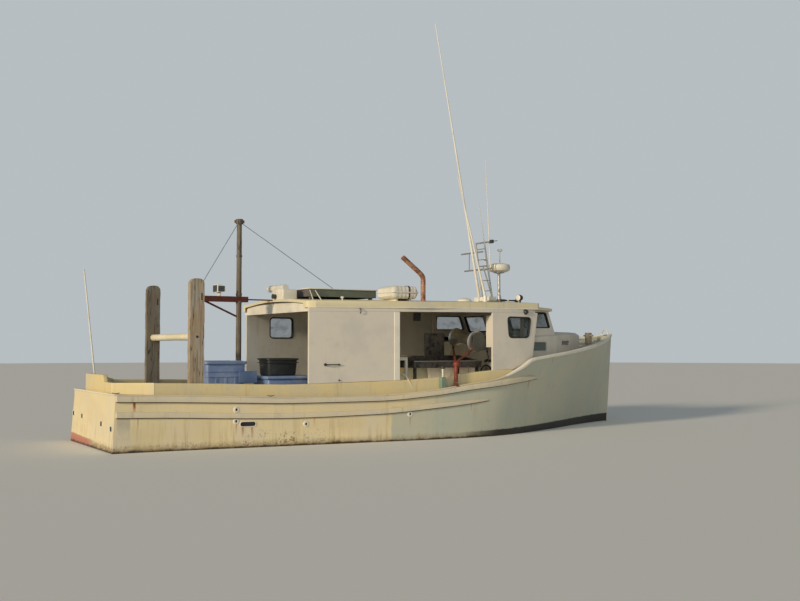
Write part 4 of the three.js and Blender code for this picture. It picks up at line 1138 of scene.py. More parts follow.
@dataclass
class Hull:
    """The hull with its open working deck, its foredeck, guards, bulwarks and fittings."""

    lines: Lines
    foredeck_drop: float = 0.11
    well_aft: float = 0.42
    well_fore: float = 7.88
    side_deck: float = 0.20
    rim: float = 0.06
    cuddy_half: float = 0.85
    bulwark_inset: float = 0.12
    bulwark_thick: float = 0.08
    side_thick: float = 0.09
    # x and height of the outlets in the side, then y and height of the scuppers in the transom
    outlets: tuple[tuple[float, float], ...] = ((1.993, 0.633), (1.989, 0.441), (5.147, 0.473), (3.2, 0.36))
    transom_scuppers: tuple[tuple[float, float], ...] = (
        (-1.179, 0.374), (-0.596, 0.421), (0.651, 0.477), (1.25, 0.492),
    )
    # x, underside, height and how far it stands out
    upper_guard: Array = field(default_factory=lambda: np.array([
        [0.06, 0.805, 0.095, 0.055], [1.00, 0.780, 0.096, 0.055], [2.00, 0.748, 0.092, 0.055],
        [3.00, 0.720, 0.082, 0.055], [4.46, 0.722, 0.080, 0.055], [5.70, 0.800, 0.085, 0.055],
        [6.37, 0.880, 0.092, 0.055], [7.08, 0.946, 0.098, 0.055], [7.60, 1.000, 0.092, 0.050],
        [7.96, 1.038, 0.060, 0.028], [8.10, 1.055, 0.024, 0.008],
    ]))
    lower_guard: Array = field(default_factory=lambda: np.array([
        [0.06, 0.555, 0.090, 0.045], [1.00, 0.530, 0.088, 0.045], [2.00, 0.492, 0.085, 0.045],
        [3.00, 0.470, 0.082, 0.045], [4.46, 0.490, 0.080, 0.045], [5.70, 0.570, 0.078, 0.045],
        [6.40, 0.630, 0.060, 0.035], [6.81, 0.672, 0.024, 0.010],
    ]))

    def well(
        self, x: Array, floor_half: Array, floor: Array | float, rim_half: Array, rim: Array | float
    ) -> Form:
        """A space to cut out: straight sides from a floor to a rim and on up."""
        side = [(floor_half, floor), (rim_half, rim), (rim_half, 4.0)]
        loop = [(-y, z) for y, z in side] + [(y, z) for y, z in reversed(side)]
        return shell(np.stack([xyz(x, y, z) for y, z in loop], axis=1))

    def build_body(self, yard: Yard) -> None:
        """The outside of the hull, less its wells."""
        lines = self.lines
        spans = ((0, 7, 70), (7, 8.4, 42), (8.4, 11.71, 66))
        x = np.unique(np.concatenate([np.linspace(*span) for span in spans]))
        rows = lines.loops(x)
        body = yard.made("hull_body", shell(rows, rows[0].mean(axis=0), rows[-1].mean(axis=0)))
        aft = np.linspace(self.well_aft, self.well_fore, 90)
        fore = np.linspace(self.well_fore - 0.01, 11.45, 60)
        cuddy = np.linspace(self.well_fore - 0.01, 9.8, 24)
        walk = lines.edge(aft) - self.side_deck
        floor_half = np.minimum(walk, lines.skin(aft, DECK) - self.side_thick)
        deep = np.minimum(self.cuddy_half, lines.skin(cuddy, DECK) - self.side_thick)
        drop = lines.sheer(fore) - self.foredeck_drop
        inside = lines.skin(fore, drop) - self.rim
        wells = [
            self.well(aft, floor_half, DECK, walk, lines.sheer(aft) - 0.15),
            self.well(fore, inside, drop, lines.edge(fore) - self.rim, lines.sheer(fore)),
            self.well(cuddy, deep, DECK, np.minimum(deep + 0.06, self.cuddy_half), 1.0),
            block(5.3, 6.6, -0.43, 0.43, -0.42, DECK + 0.01),
        ]
        yard.place("hull_body", yard.cut(body, wells), Palette.HULL, ("hull",))

    def strake(self, table: Array, side: int, seed: float) -> Form:
        """A rubbing guard: a flat-faced section with broken corners carried along the skin, a little uneven."""
        x = np.linspace(table[0, 0], table[-1, 0], 110)
        z, tall, out = smooth(table, x).T
        out = out + wander(x, 0.004, 1.3, seed) * fade(out, 0.01, 0.04)
        reach = np.array([-0.5, 0.82, 0.96, 1.0, 1.0, 0.94, 0.78, -0.5])
        share = np.array([0.0, 0.0, 0.04, 0.12, 0.86, 0.95, 1.0, 1.0])
        low, high = self.lines.skin(x, z), self.lines.skin(x, z + tall)
        y = low[:, None] + (high - low)[:, None] * share + out[:, None] * reach
        return shell(xyz(x[:, None], side * y, z[:, None] + tall[:, None] * share))

    def bulwark(self, side: int) -> Form:
        """The low wall inboard of the deck edge: its foot, and a top rounded by two quarter circles."""
        x = np.linspace(0.701, 7.47, 100)
        foot = self.lines.sheer(x) + 0.0005
        top = np.maximum(smooth(self.lines.bulwark_top, x)[:, 0], foot + 0.01) + wander(x, 0.003, 1.7, 2.0)
        radius, thick = 0.026, self.bulwark_thick
        turn = np.linspace(0, math.pi, 9)
        near, far = turn[1:4], turn[5:8]
        outer, inner = radius * (1 - np.cos(near)), thick - radius * (1 + np.cos(far))
        across = np.concatenate([[0, 0], outer, inner, [thick, thick]])
        drops = [radius * (1 - np.sin(angle)) for angle in (near, far)]
        lower = np.concatenate([[0, radius], *drops, [radius, 0]])
        z = np.maximum(top[:, None] - lower, foot[:, None])
        z[:, [0, -1]] = foot[:, None]
        y = side * ((self.lines.edge(x) - self.bulwark_inset)[:, None] - across)
        return shell(xyz(x[:, None], y, z))

    def cap(self, start: float, stop: float) -> Form:
        """The moulding along the deck edge: a thin lip aft that widens and deepens ahead of the side opening.

        Args:
            start: Where it starts.
            stop: Where it ends.
        """
        x = np.linspace(start, stop, 100)
        sheer = self.lines.sheer(x)
        grown = fade(x, 6.9, 7.8)
        wide, tall = 0.045 + 0.05 * grown, 0.02 + 0.04 * grown
        middle = self.lines.edge(x) - 0.32 * wide
        path = xyz(x + self.lines.setback(x, sheer), middle, sheer + 0.012 - 0.3 * tall)
        profile = rounded(1.0, 1.0, 0.2, 3)
        return carried(path, profile[None] * np.stack([wide, tall], axis=-1)[:, None], UP).both()

    def build_edges(self, yard: Yard) -> None:
        """Guards, bulwarks, caps and the stem band, with a dark strip under each guard as painted shadow."""
        guards = (("upper", self.upper_guard, 1.0), ("lower", self.lower_guard, 4.0))
        for name, side in SIDES:
            for guard, table, seed in guards:
                rail = self.strake(table, side, seed)
                yard.place(f"{guard}_guard_rail_{name}", rail, Palette.GUARD, (f"{guard}_guard_{name}",))
            yard.place(f"bulwark_wall_{name}", self.bulwark(side), Palette.BULWARK, (f"bulwark_{name}",))
            # Under each guard a slim dark strip lies on the topside: painted shadow, the shade line that the
            # guard throws.
            for guard, table, _ in guards:
                seam = table * np.array([1, 1, 0, 0.35]) + np.array([0, -0.013, 0.015, 0.004])
                yard.place(f"{guard}_guard_painted_shadow_{name}", self.strake(seam, side, 2.0), Palette.GUARD_SHADOW)
        yard.refine("bulwark_stern", Palette.BULWARK, 0.014)
        yard.place("deck_edge_lip", self.cap(0.03, 7.2), Palette.GUARD)
        yard.place("foredeck_rail_cap", self.cap(7.2, 11.60), Palette.TRIM)
        transom = xyz(0.058, np.linspace(-1.285, 1.285, 24), 0.912)
        yard.place("transom_cap", carried(transom, rounded(0.05, 0.034, 0.012), UP), Palette.CAP)
        z = np.linspace(0.02, 1.93, 30)
        stem_x = self.lines.stem_x
        stem = xyz(stem_x + self.lines.setback(np.full_like(z, stem_x), z) - 0.004, 0, z)
        yard.place("stem_band", carried(stem, rounded(0.05, 0.03, 0.012), FORWARD), Palette.CAP)

    def build_outlets(self, yard: Yard) -> None:
        """Sea outlets and scuppers in the side and the transom."""
        face = [[0.020, 0.002], [0.022, 0.012], [0.044, 0.012], [0.05, 0.005]]
        flange = turned([*face, [0.05, -0.012], [0.020, -0.012]], 28)
        plug = turned([[0, 0.004], [0.021, 0.004], [0.021, -0.012], [0, -0.012]], 20)
        spots = [(x, -float(self.lines.skin(x, z)), z) for x, z in self.outlets]
        for name, form, finish in (("flanges", flange, Palette.TRIM), ("bores", plug, Palette.RUBBER)):
            yard.place(f"sea_outlet_{name}", [form.aimed(spot, (0, -1, 0)) for spot in spots], finish)
        lip = rounded(0.27, 0.085, 0.04, 8) + np.array([2.19, 0.391])
        path = xyz(lip[:, 0], -self.lines.skin(lip[:, 0], lip[:, 1]) - 0.002, lip[:, 1])
        yard.place("side_scupper_rim", carried(path, circle(8, 0.009), [0, 1, 0], closed=True), Palette.TRIM)
        hole = np.stack([path + np.array([0, depth, 0]) for depth in (-0.003, 0.02)])
        yard.place("side_scupper", shell(hole, hole[0].mean(axis=0), hole[1].mean(axis=0)), Palette.RUBBER)
        rims, holes = [], []
        loop = rounded(0.125, 0.088, 0.026, 4)
        for y, z in self.transom_scuppers:
            ahead = z * self.lines.transom_rake
            path = xyz(ahead - 0.002, y + loop[:, 0], z + loop[:, 1])
            rims.append(carried(path, circle(8, 0.008), FORWARD, closed=True))
            holes.append(slab(loop * 0.95 + np.array([y, z]), ahead - 0.004, ahead + 0.02, 0))
        yard.place("transom_scupper_rims", rims, Palette.CAP)
        yard.place("transom_scuppers", holes, Palette.RUBBER)

    def build_cleats(self, yard: Yard) -> None:
        """Two-horned cleats on the deck edge: two whole ones and three small ones."""
        horn = np.array([[-0.15, 0, 0.075], [-0.11, 0, 0.068], [-0.05, 0, 0.055]])
        horn = np.concatenate([horn, horn[::-1] * np.array([-1, 1, 1])])
        radius = np.interp(np.linspace(-1, 1, 31), [-1, -0.8, 0, 0.8, 1], [0.008, 0.012, 0.016, 0.012, 0.008])
        feet = [bar((x, 0, 0), (x, 0, 0.055), 0.012) for x in (-0.03, 0.03)]
        cleat = Form.joined([tube(spline(horn, 6), radius), block(-0.06, 0.06, -0.024, 0.024, 0, 0.012), *feet])
        small = Form(cleat.points * 0.42, cleat.faces)
        on_side = [(small, 2.6, -1.515), (cleat, 2.6, 1.515), (cleat, 6.9, 1.93)]
        on_stern = [(small, 0.12, -1.08), (small, 0.33, 0.6)]
        cleats = [form.moved(x, y, float(self.lines.sheer(x)) + 0.002) for form, x, y in on_side + on_stern]
        yard.place("mooring_cleats", cleats, Palette.DARK_STEEL, bevel=0.002)

    def build(self, yard: Yard) -> None:
        """Builds the whole hull."""
        self.build_body(yard)
        self.build_edges(yard)
        self.build_outlets(yard)
        self.build_cleats(yard)
        yard.refine("keel", Palette.BOTTOM, 0.01)
        yard.refine("rudder", Palette.BOTTOM, 0.005, Body.RUDDER)
        yard.refine("propeller", Palette.BRONZE, 0.002, Body.SCREW)


# The wheelhouse


def flipped(lift: Callable[[Array], Array], side: int) -> Callable[[Array], Array]:
    """A way from two coordinates to points on the port side, taken to the side that is asked for."""
    return lambda points: lift(points) * np.array([1, side, 1])


@dataclass
class Opening:
    """A window opening: its outline in two axes and the wall that carries it.

    Attributes:
        outline: Corners of the opening, x and z on a side or y and z on the front.
        radius: Radius of its corners.
        lift: Turns the outline's two columns into points in the middle of the wall.
        normal: Direction out of the wall.
        thick: Thickness of the wall.
    """

    outline: Array
    radius: float
    lift: Callable[[Array], Array]
    normal: tuple[float, float, float]
    thick: float = 0.05

    def loop(self, inset: float = 0.0) -> Array:
        """The outline with round corners, drawn in towards its middle by inset.

        Each corner is a quadratic curve that starts and ends radius away from it on the two sides.
        """
        middle = self.outline.mean(axis=0)
        span = np.ptp(self.outline, axis=0)
        corners = middle + (self.outline - middle) * (1 - 2 * inset / span)
        back = np.roll(corners, 1, axis=0) - corners
        ahead = np.roll(corners, -1, axis=0) - corners
        back /= np.linalg.norm(back, axis=1, keepdims=True)
        ahead /= np.linalg.norm(ahead, axis=1, keepdims=True)
        t = np.linspace(0, 1, 6)[:, None, None]
        start, stop = corners + self.radius * back, corners + self.radius * ahead
        curve = (1 - t) ** 2 * start + 2 * t * (1 - t) * corners + t**2 * stop
        return np.swapaxes(curve, 0, 1).reshape(-1, 2)

    def frame(self, width: float = 0.03, proud: float = 0.012) -> Form:
        """The rubber or moulding round the opening, standing proud of both faces of the wall."""
        section = rounded(width, self.thick + 2 * proud, 0.008, 3)
        return carried(self.lift(self.loop(inset=0.25 * width)), section, self.normal, closed=True)

    def pane(self) -> Form:
        """The glass, 6 mm thick, in the middle of the wall."""
        face = self.lift(self.loop(inset=0.004))
        half = 0.003 * np.array(self.normal)
        return shell(np.stack([face - half, face + half]))


@dataclass
class Wheelhouse:
    """The wheelhouse: panels, windows, roof, bulkhead, helm and the trunk cabin ahead of it."""

    lines: Lines
    wall_inset: float = 0.13
    wall_thick: float = 0.05
    front: float = 7.885
    # x and half-breadth of the trunk cabin
    trunk_half: Array = field(default_factory=lambda: np.array([
        [7.885, 1.625], [8.30, 1.60], [8.82, 1.525], [9.20, 1.345], [9.60, 1.13], [10.0, 0.88],
    ]))

    def face(self, x: float) -> float:
        """Place of the starboard wall's outer face."""
        return self.wall_inset - float(self.lines.edge(x))

    def side(self, points: Array) -> Array:
        """Turns x and z into a point in the middle of the port wall, which follows the deck edge."""
        edge = self.lines.edge(np.minimum(points[:, 0], 7.88))
        return xyz(points[:, 0], edge - self.wall_inset - self.wall_thick / 2, points[:, 1])

    def corner(self, z: Array) -> Array:
        """Place of the raked corner between the wheelhouse side and the windscreen."""
        return 8.817 - 0.375 * (z - 1.88)

    def quarter(self, points: Array) -> Array:
        """The same in the side that runs in towards the windscreen, from a half-breadth of 1.6 to 1.5."""
        share = (points[:, 0] - self.front) / (self.corner(points[:, 1]) - self.front)
        return xyz(points[:, 0], 1.6 - 0.1 * share - 0.023, points[:, 1])

    def screen(self, points: Array) -> Array:
        """Turns y and z into a point of the windscreen, which is flat amidships and swept back outboard."""
        swept = np.clip((1.5 - np.abs(points[:, 0])) / 0.78, 0, 1)
        return xyz(self.corner(points[:, 1]) + 0.11 * swept - 0.022, points[:, 0], points[:, 1])

    def trunk(self, points: Array) -> Array:
        """The same as side in the trunk cabin's port side, straight between its frames."""
        half = np.interp(points[:, 0], *self.trunk_half.T)
        return xyz(points[:, 0], half - 0.0225, points[:, 1])

    def openings(self) -> dict[str, Opening]:
        """Every window, in the order of its piece."""
        pane = np.array([[7.370, 1.838], [7.865, 1.843], [7.925, 2.237], [7.332, 2.242]])
        found = {
            "side_window": Opening(pane, 0.075, flipped(self.side, STARBOARD), (0, -1, 0)),
            "port_window_aft": Opening(oblong(3.94, 4.49, 1.84, 2.26), 0.08, self.side, (0, 1, 0)),
            "port_window_fore": Opening(oblong(5.56, 6.11, 1.84, 2.26), 0.08, self.side, (0, 1, 0)),
        }
        low, high = self.corner(2.045) - 0.09, self.corner(2.35) - 0.08
        raked = np.array([[7.96, 2.045], [low, 2.045], [high, 2.35], [7.96, 2.35]])
        for name, sign in SIDES:
            for window, outline, radius, lift, ahead in (
                ("quarter_window", raked, 0.04, self.quarter, 0),
                ("cuddy_window_aft", oblong(8.11, 8.54, 1.575, 1.775), 0.05, self.trunk, 0),
                ("cuddy_window_fore", oblong(9.0, 9.41, 1.69, 1.805), 0.05, self.trunk, 0.42),
            ):
                lift = flipped(lift, sign)
                found[f"{window}_{name}"] = Opening(outline, radius, lift, (ahead, sign, 0), 0.045)
            for window, inner, outer, sill, turn in (
                ("outer", 0.8, 1.4, 2.0, 0.14),
                ("inner", 0.04, 0.64, 2.03, 0),
            ):
                outline = oblong(*sorted((sign * inner, sign * outer)), sill, 2.345)
                normal = (1, turn * sign, 0.35)
                found[f"screen_{window}_{name}"] = Opening(outline, 0.05, self.screen, normal, 0.045)
        return found

    def build_windows(self, yard: Yard) -> None:
        """Rubbers and panes."""
        for name, opening in self.openings().items():
            cuddy = name.startswith("cuddy")
            slim = 0.026 if name.startswith(("side", "port")) else 0.022
            yard.place(f"{name}_rubber", opening.frame(slim, 0.009), Palette.CABIN if cuddy else Palette.RUBBER)
            yard.place(f"{name}_glass", opening.pane(), Palette.DARK_GLASS if cuddy else Palette.GLASS)

    def build_walls(self, yard: Yard) -> None:
        """Panels, walls and roof."""
        fronts = ("front_wall_starboard", "front_wall_port", "bridge_front")
        for node in ("aft_panel", "forward_panel", "header", *fronts):
            yard.refine(node, Palette.CABIN, 0.005)
        for node in ("port_wall", "bulkhead"):
            yard.refine(node, Palette.INSIDE, 0.005)
        yard.refine("roof_aft_beam", Palette.TRIM, 0.008)
        across = np.linspace(-1.39, 1.39, 25)
        crown = np.stack([across, 2.400 + 0.075 * (1 - (across / 1.48) ** 2)], axis=-1)
        arch = np.concatenate([crown, [[1.39, 2.392], [-1.39, 2.392]]])
        yard.place("roof_aft_arch", slab(arch, 3.352, 3.388, 0), Palette.TRIM)
        yard.refine("trunk_cabin", Palette.CABIN, 0.02)
        yard.refine("roof", Palette.ROOF, 0.014)

    def build_trim(self, yard: Yard) -> None:
        """The panel's latch and pin, the fascia's hook, edge trims and lamps."""
        y = self.face(3.72) - 0.001
        latch = [bar((3.579, y - 0.04, 1.361), (3.862, y - 0.04, 1.358), 0.009)]
        for inner, outer, radius in ((0.004, 0.048, 0.013), (0.002, 0.006, 0.026)):
            latch += [bar((x, y + inner, 1.36), (x, y - outer, 1.36), radius) for x in (3.595, 3.85)]
        yard.place("panel_latch", latch, Palette.DARK_STEEL)
        pin = bar((3.853, y + 0.004, 1.087), (3.853, y - 0.034, 1.087), 0.013)
        yard.place("panel_pin", pin, Palette.DARK_STEEL)
        y = self.face(4.24) - 0.004
        x = 4.241
        bend = [(x, y + 0.004, 2.345), (x, y - 0.03, 2.33), (x, y - 0.04, 2.29), (4.238, y - 0.02, 2.255)]
        yard.place("fascia_hook", tube(spline(bend, 6), 0.008, 8), Palette.DARK_STEEL)
        (aft, aft_y), (fore, fore_y) = [(x, self.face(x)) for x in (4.91, 5.015)]
        board = [[aft, aft_y - 0.010], [fore, fore_y - 0.010], [fore, fore_y + 0.056], [aft, aft_y + 0.010]]
        yard.place("opening_post_trim", slab(board, 1.073, 2.29, 2), Palette.TRIM, bevel=0.004)
        lamp = turned([[0, 0], [0.03, 0.0], [0.045, 0.02], [0.05, 0.07], [0.042, 0.09], [0, 0.092]], 24)
        yard.place("eave_lamp", lamp.aimed((7.77, -1.80, 2.372), (0.3, -0.75, -0.6)), Palette.BLACK)
        yard.place("cabin_lamp", moulded((0.12, 0.1, 0.16), 0.012).moved(6.09, -0.6, 2.17), Palette.BLACK)
        x = np.linspace(3.42, 8.08, 60)
        half = np.interp(x, [3.42, 5.6, 8.08], [1.535, 1.79, 1.85])
        bead = xyz(x, half + 0.002, 2.472 - 0.116 + 0.0094 * (x - 3.42))
        yard.place("roof_drip_bead", tube(bead, 0.011, 8).both(), Palette.TRIM)

    def build_door(self, yard: Yard) -> None:
        """The companion door with its panel, knob and hinges."""
        yard.refine("companion_door", Palette.CABIN, 0.006, Body.DOOR)
        panel = slab(rounded(0.44, 0.28, 0.02) + np.array([-0.399, 0.95]), 7.786, 7.7895, 0).moved(y=0.798)
        yard.place("door_panel", panel, Palette.TRIM, body=Body.DOOR)
        grip = [[0.008, 0], [0.008, 0.02], [0.022, 0.03], [0.024, 0.045], [0.014, 0.054], [0, 0.055]]
        knob = turned(grip, 20)
        yard.place("door_knob", knob.aimed((7.79, 0.17, 1.05), (-1, 0, 0)), Palette.BRONZE, body=Body.DOOR)
        hinges = [bar((7.785, 0.713, z - 0.05), (7.785, 0.713, z + 0.05), 0.008) for z in (0.6, 1.05, 1.5)]
        yard.place("door_hinges", hinges, Palette.ALLOY)

    def build_helm(self, yard: Yard) -> None:
        """The wheel, the dials, the throttle and the plotter."""
        rim = tube(np.column_stack([np.zeros(48), circle(48, 0.19)]), 0.0135, 12, closed=True)
        hub = bar((-0.022, 0, 0), (0.0615, 0, 0), 0.034, 0.03, 24)
        spokes = [
            bar((0, 0, 0), (0, 0.188 * math.sin(angle), 0.188 * math.cos(angle)), 0.011, 0.008)
            for angle in np.arange(3) * TAU / 3
        ]
        wheel = Form.joined([rim, hub, *spokes]).moved(7.418, -1.05, 1.12)
        yard.place("steering_wheel", wheel, Palette.BLACK, ("helm_wheel",), Body.WHEEL)
        dial = turned([[0, 0.0], [0.05, 0.0], [0.05, 0.012], [0.044, 0.018], [0.04, 0.01], [0, 0.01]], 28)
        dials = [dial.aimed((7.60, y, 1.385), (-0.6, 0, 0.8)) for y in (-1.28, -1.14, -0.96, -0.82)]
        yard.place("console_dials", dials, Palette.BLACK)
        lever = [bar((7.70, -0.76, 1.42), (7.66, -0.76, 1.56), 0.008), ball((7.66, -0.76, 1.575), 0.022)]
        yard.place("throttle_lever", lever, Palette.RED_STEEL)
        yard.place("plotter_case", moulded((0.14, 0.34, 0.22), 0.02).moved(7.72, -1.12, 1.425), Palette.BLACK)

    def build(self, yard: Yard) -> None:
        """Builds the whole wheelhouse."""
        self.build_walls(yard)
        self.build_windows(yard)
        self.build_trim(yard)
        yard.refine("helm_console", Palette.INSIDE, 0.012)
        self.build_door(yard)
        self.build_helm(yard)


# Deck gear


@dataclass
class Gallows:
    """The two timber posts at the stern with the roller between them."""

    x: float = 1.41
    y: float = 1.156
    width: float = 0.248
    thick: float = 0.11
    top: float = 2.80
    head_radius: float = 0.095
    roller_z: float = 1.835

    def post(self, side: int) -> Form:
        """A plank on end whose head has round corners: each row up its height is as wide as they let it be."""
        corner = self.head_radius
        shoulder = self.top - corner
        head = shoulder + corner * np.sin(np.linspace(0, math.pi / 2, 16)[1:])
        z = np.concatenate([np.linspace(DECK, shoulder, 40), head])
        drawn = corner - np.sqrt(np.clip(corner**2 - np.clip(z - shoulder, 0, corner) ** 2, 0, None))
        wide = self.width / 2 - drawn + wander(z, 0.0025, 0.21, 3.0 + side)
        profile = rounded(2.0, self.thick, 0.014, 3)
        x = self.x + profile[None, :, 0] * wide[:, None] + wander(z, 0.004, 0.9, side)[:, None]
        y = side * self.y + profile[:, 1] + wander(z, 0.002, 0.6, 2.0 + side)[:, None]
        return shell(xyz(x, y, z[:, None]))

    def build(self, yard: Yard) -> None:
        """Builds the posts with their bolts, and the roller on its spindle."""
        for name, side in SIDES:
            y = side * self.y
            post = yard.made(f"gallows_timber_{name}", self.post(side))
            hole = bar((self.x, y - 0.2, self.roller_z), (self.x, y + 0.2, self.roller_z), 0.0215)
            slot = block(self.x + 0.065, self.x + 0.09, y - 0.2, y + 0.2, 2.44, 2.56)
            yard.cut(post, [hole, slot])
            # The port post takes the darker timber as painted shade.
            finish = Palette.POST if side == STARBOARD else Palette.POST_SHADED
            yard.place(f"gallows_timber_{name}", post, finish, (f"gallows_post_{name}",))
            bolt = turned([[0, 0], [0.014, 0], [0.014, 0.006], [0, 0.010]], 10)
            face = side * (self.y + self.thick / 2)
            spots = [(self.x + dx, face, z) for z in (0.62, 0.80) for dx in (-0.07, 0.07)]
            bolts = [bolt.aimed(spot, (0, side, 0)) for spot in spots]
            yard.place(f"gallows_bolts_{name}", bolts, Palette.RUST)
        reach = self.y - self.thick / 2 - 0.006
        y = np.linspace(-reach, reach, 60)
        radius = 0.06 - 0.004 * np.exp(-((y / 0.5) ** 2)) + wander(y, 0.0008, 0.5)
        sleeve = tube(xyz(self.x, y, self.roller_z), radius, 28)
        yard.place("gallows_sleeve", sleeve, Palette.ROLLER, ("gallows_roller",), Body.ROLLER)
        spindle = bar((self.x, -self.y - 0.06, self.roller_z), (self.x, self.y + 0.06, self.roller_z), 0.02)
        yard.place("gallows_spindle", spindle, Palette.DARK_STEEL, body=Body.ROLLER)


@dataclass
class Derrick:
    """The mast aft of the wheelhouse with its beam, strut, lamp and stays."""

    x: float = 2.635
    top: float = 4.0
    radius: float = 0.052

    def build(self, yard: Yard) -> None:
        """Builds the mast and what it carries."""
        z = np.linspace(DECK, self.top - 0.06, 50)
        radius = self.radius - 0.006 * fade(z, DECK, self.top) + wander(z, 0.0015, 0.8)
        pole = tube(xyz(self.x, 0, z), radius, 20)
        band = turned([[0.05, 0], [0.056, 0.004], [0.056, 0.036], [0.05, 0.04]], 24)
        bands = [band.moved(self.x, 0, z) for z in (1.2, 2.46, 2.60, 3.3)]
        lid = [[0, -0.09], [0.062, -0.09], [0.066, -0.08], [0.066, -0.008], [0.058, 0.0], [0, 0.004]]
        cap = turned(lid, 24)
        ears = slab(rounded(0.19, 0.06, 0.02) + np.array([self.x, self.top - 0.05]), -0.014, 0.014, 1)
        mast = [pole, *bands, cap.moved(self.x, 0, self.top - 0.004), ears]
        yard.place("derrick_mast", mast, Palette.MAST, ("derrick",))
        beam = block(1.90, 2.80, -0.05, 0.05, 2.48, 2.58)
        strut = bar((self.x, 0, 2.2), (1.96, 0, 2.5), 0.018)
        tie = bar((2.76, 0, 2.53), (3.2995, 0, 2.53), 0.012)
        yard.place("derrick_beam", [beam, strut, tie], Palette.BEAM, bevel=0.008)
        housing = slab([[2.18, 2.64], [2.33, 2.66], [2.33, 2.76], [2.18, 2.79]], -0.11, 0.11, 1)
        foot = block(2.235, 2.275, -0.05, 0.05, 2.5804, 2.65)
        yard.place("work_lamp", [housing, foot], Palette.TRIM, ("floodlight",), bevel=0.008)
        glass = slab(rounded(0.19, 0.12, 0.01) + np.array([0.0, 2.715]), 2.174, 2.1798, 0)
        yard.place("work_lamp_glass", glass, Palette.LAMP_GLASS)
        side_glass = slab(rounded(0.12, 0.1, 0.012) + np.array([2.256, 2.71]), -0.114, -0.1095, 1)
        yard.place("work_lamp_side_glass", side_glass, Palette.LAMP_GLASS)
        for node in ("stay_aft", "stay_fore"):
            yard.dress(node, Palette.ALLOY)


@dataclass
class Tub:
    """An insulated fish tub: tapered sides with belts and ribs, a rolled rim and a hollow."""

    x0: float = 1.70
    x1: float = 2.44
    y0: float = -0.86
    y1: float = -0.26
    top: float = 1.43

    def build(self, yard: Yard) -> None:
        """Builds the tub."""
        length, width, height = self.x1 - self.x0, self.y1 - self.y0, self.top - DECK
        middle = np.array([(self.x0 + self.x1) / 2, (self.y0 + self.y1) / 2])
        outside = moulded((length - 0.03, width - 0.03, height), 0.045, draft=0.035)
        tub = yard.made("fish_tub_moulding", outside.moved(*middle, DECK))
        yard.cut(tub, [moulded((length - 0.11, width - 0.11, 1.0), 0.05, draft=0.01).moved(*middle, 1.0)])
        yard.place("fish_tub_moulding", tub, Palette.BLUE, ("fish_tub",))
        ribs = [hoop(rounded(length, width, 0.05, 5) + middle, self.top - 0.035, 0.03, 0.05, 0.012)]
        for drop, inset in ((0.18, 0.028), (0.27, 0.031)):
            loop = rounded(length - 2 * inset, width - 2 * inset, 0.045, 5) + middle
            ribs.append(hoop(loop, self.top - drop, 0.03, 0.04, 0.012))
        low, high = 0.42, self.top - 0.28
        for x in (self.x0 + 0.2, self.x0 + 0.37, self.x0 + 0.54):
            ribs.append(block(x - 0.025, x + 0.025, self.y0 + 0.02, self.y0 + 0.06, low, high))
        for y in (self.y0 + 0.17, self.y0 + 0.43):
            ribs.append(block(self.x0 + 0.02, self.x0 + 0.06, y - 0.025, y + 0.025, low, high))
        yard.place("fish_tub_ribs", ribs, Palette.BLUE, bevel=0.008)
        leaf = moulded((0.34, 0.03, 0.21), 0.012).moved(2.45, self.y0 - 0.017, 1.04)
        yard.place("tub_side_leaf", leaf, Palette.BLUE_PALE)


@dataclass
class Boxes:
    """The lidded box forward of the mast and the tote that stands on it."""

    box: tuple[float, float] = (3.17, -0.75)
    tote: tuple[float, float] = (3.08, -0.74)

    def build(self, yard: Yard) -> None:
        """Builds both."""
        body = moulded((0.85, 0.65, 0.82), 0.04, draft=0.015).moved(*self.box, DECK)
        lid = moulded((0.91, 0.71, 0.06), 0.022).moved(*self.box, 1.10)
        panels = [block(x - 0.1, x + 0.1, -1.092, -1.06, 0.5, 0.95) for x in (2.95, 3.39)]
        yard.place("deck_box", body, Palette.BLUE, ("lidded_box",))
        yard.place("deck_box_lid", lid, Palette.BLUE_PALE)
        yard.place("deck_box_panels", panels, Palette.BLUE, bevel=0.012)
        tote = yard.made("fish_tote", moulded((0.56, 0.44, 0.31), 0.03, draft=0.02).moved(*self.tote, 1.1604))
        yard.cut(tote, [moulded((0.51, 0.39, 0.4), 0.03, draft=0.02).moved(*self.tote, 1.20)])
        yard.place("fish_tote", tote, Palette.BLACK, ("tote",))
        loop = rounded(0.585, 0.465, 0.04, 5) + np.array(self.tote)
        rims = [hoop(loop, z, 0.026, tall, 0.006) for z, tall in ((1.452, 0.03), (1.39, 0.014))]
        yard.place("fish_tote_rim", rims, Palette.BLACK)


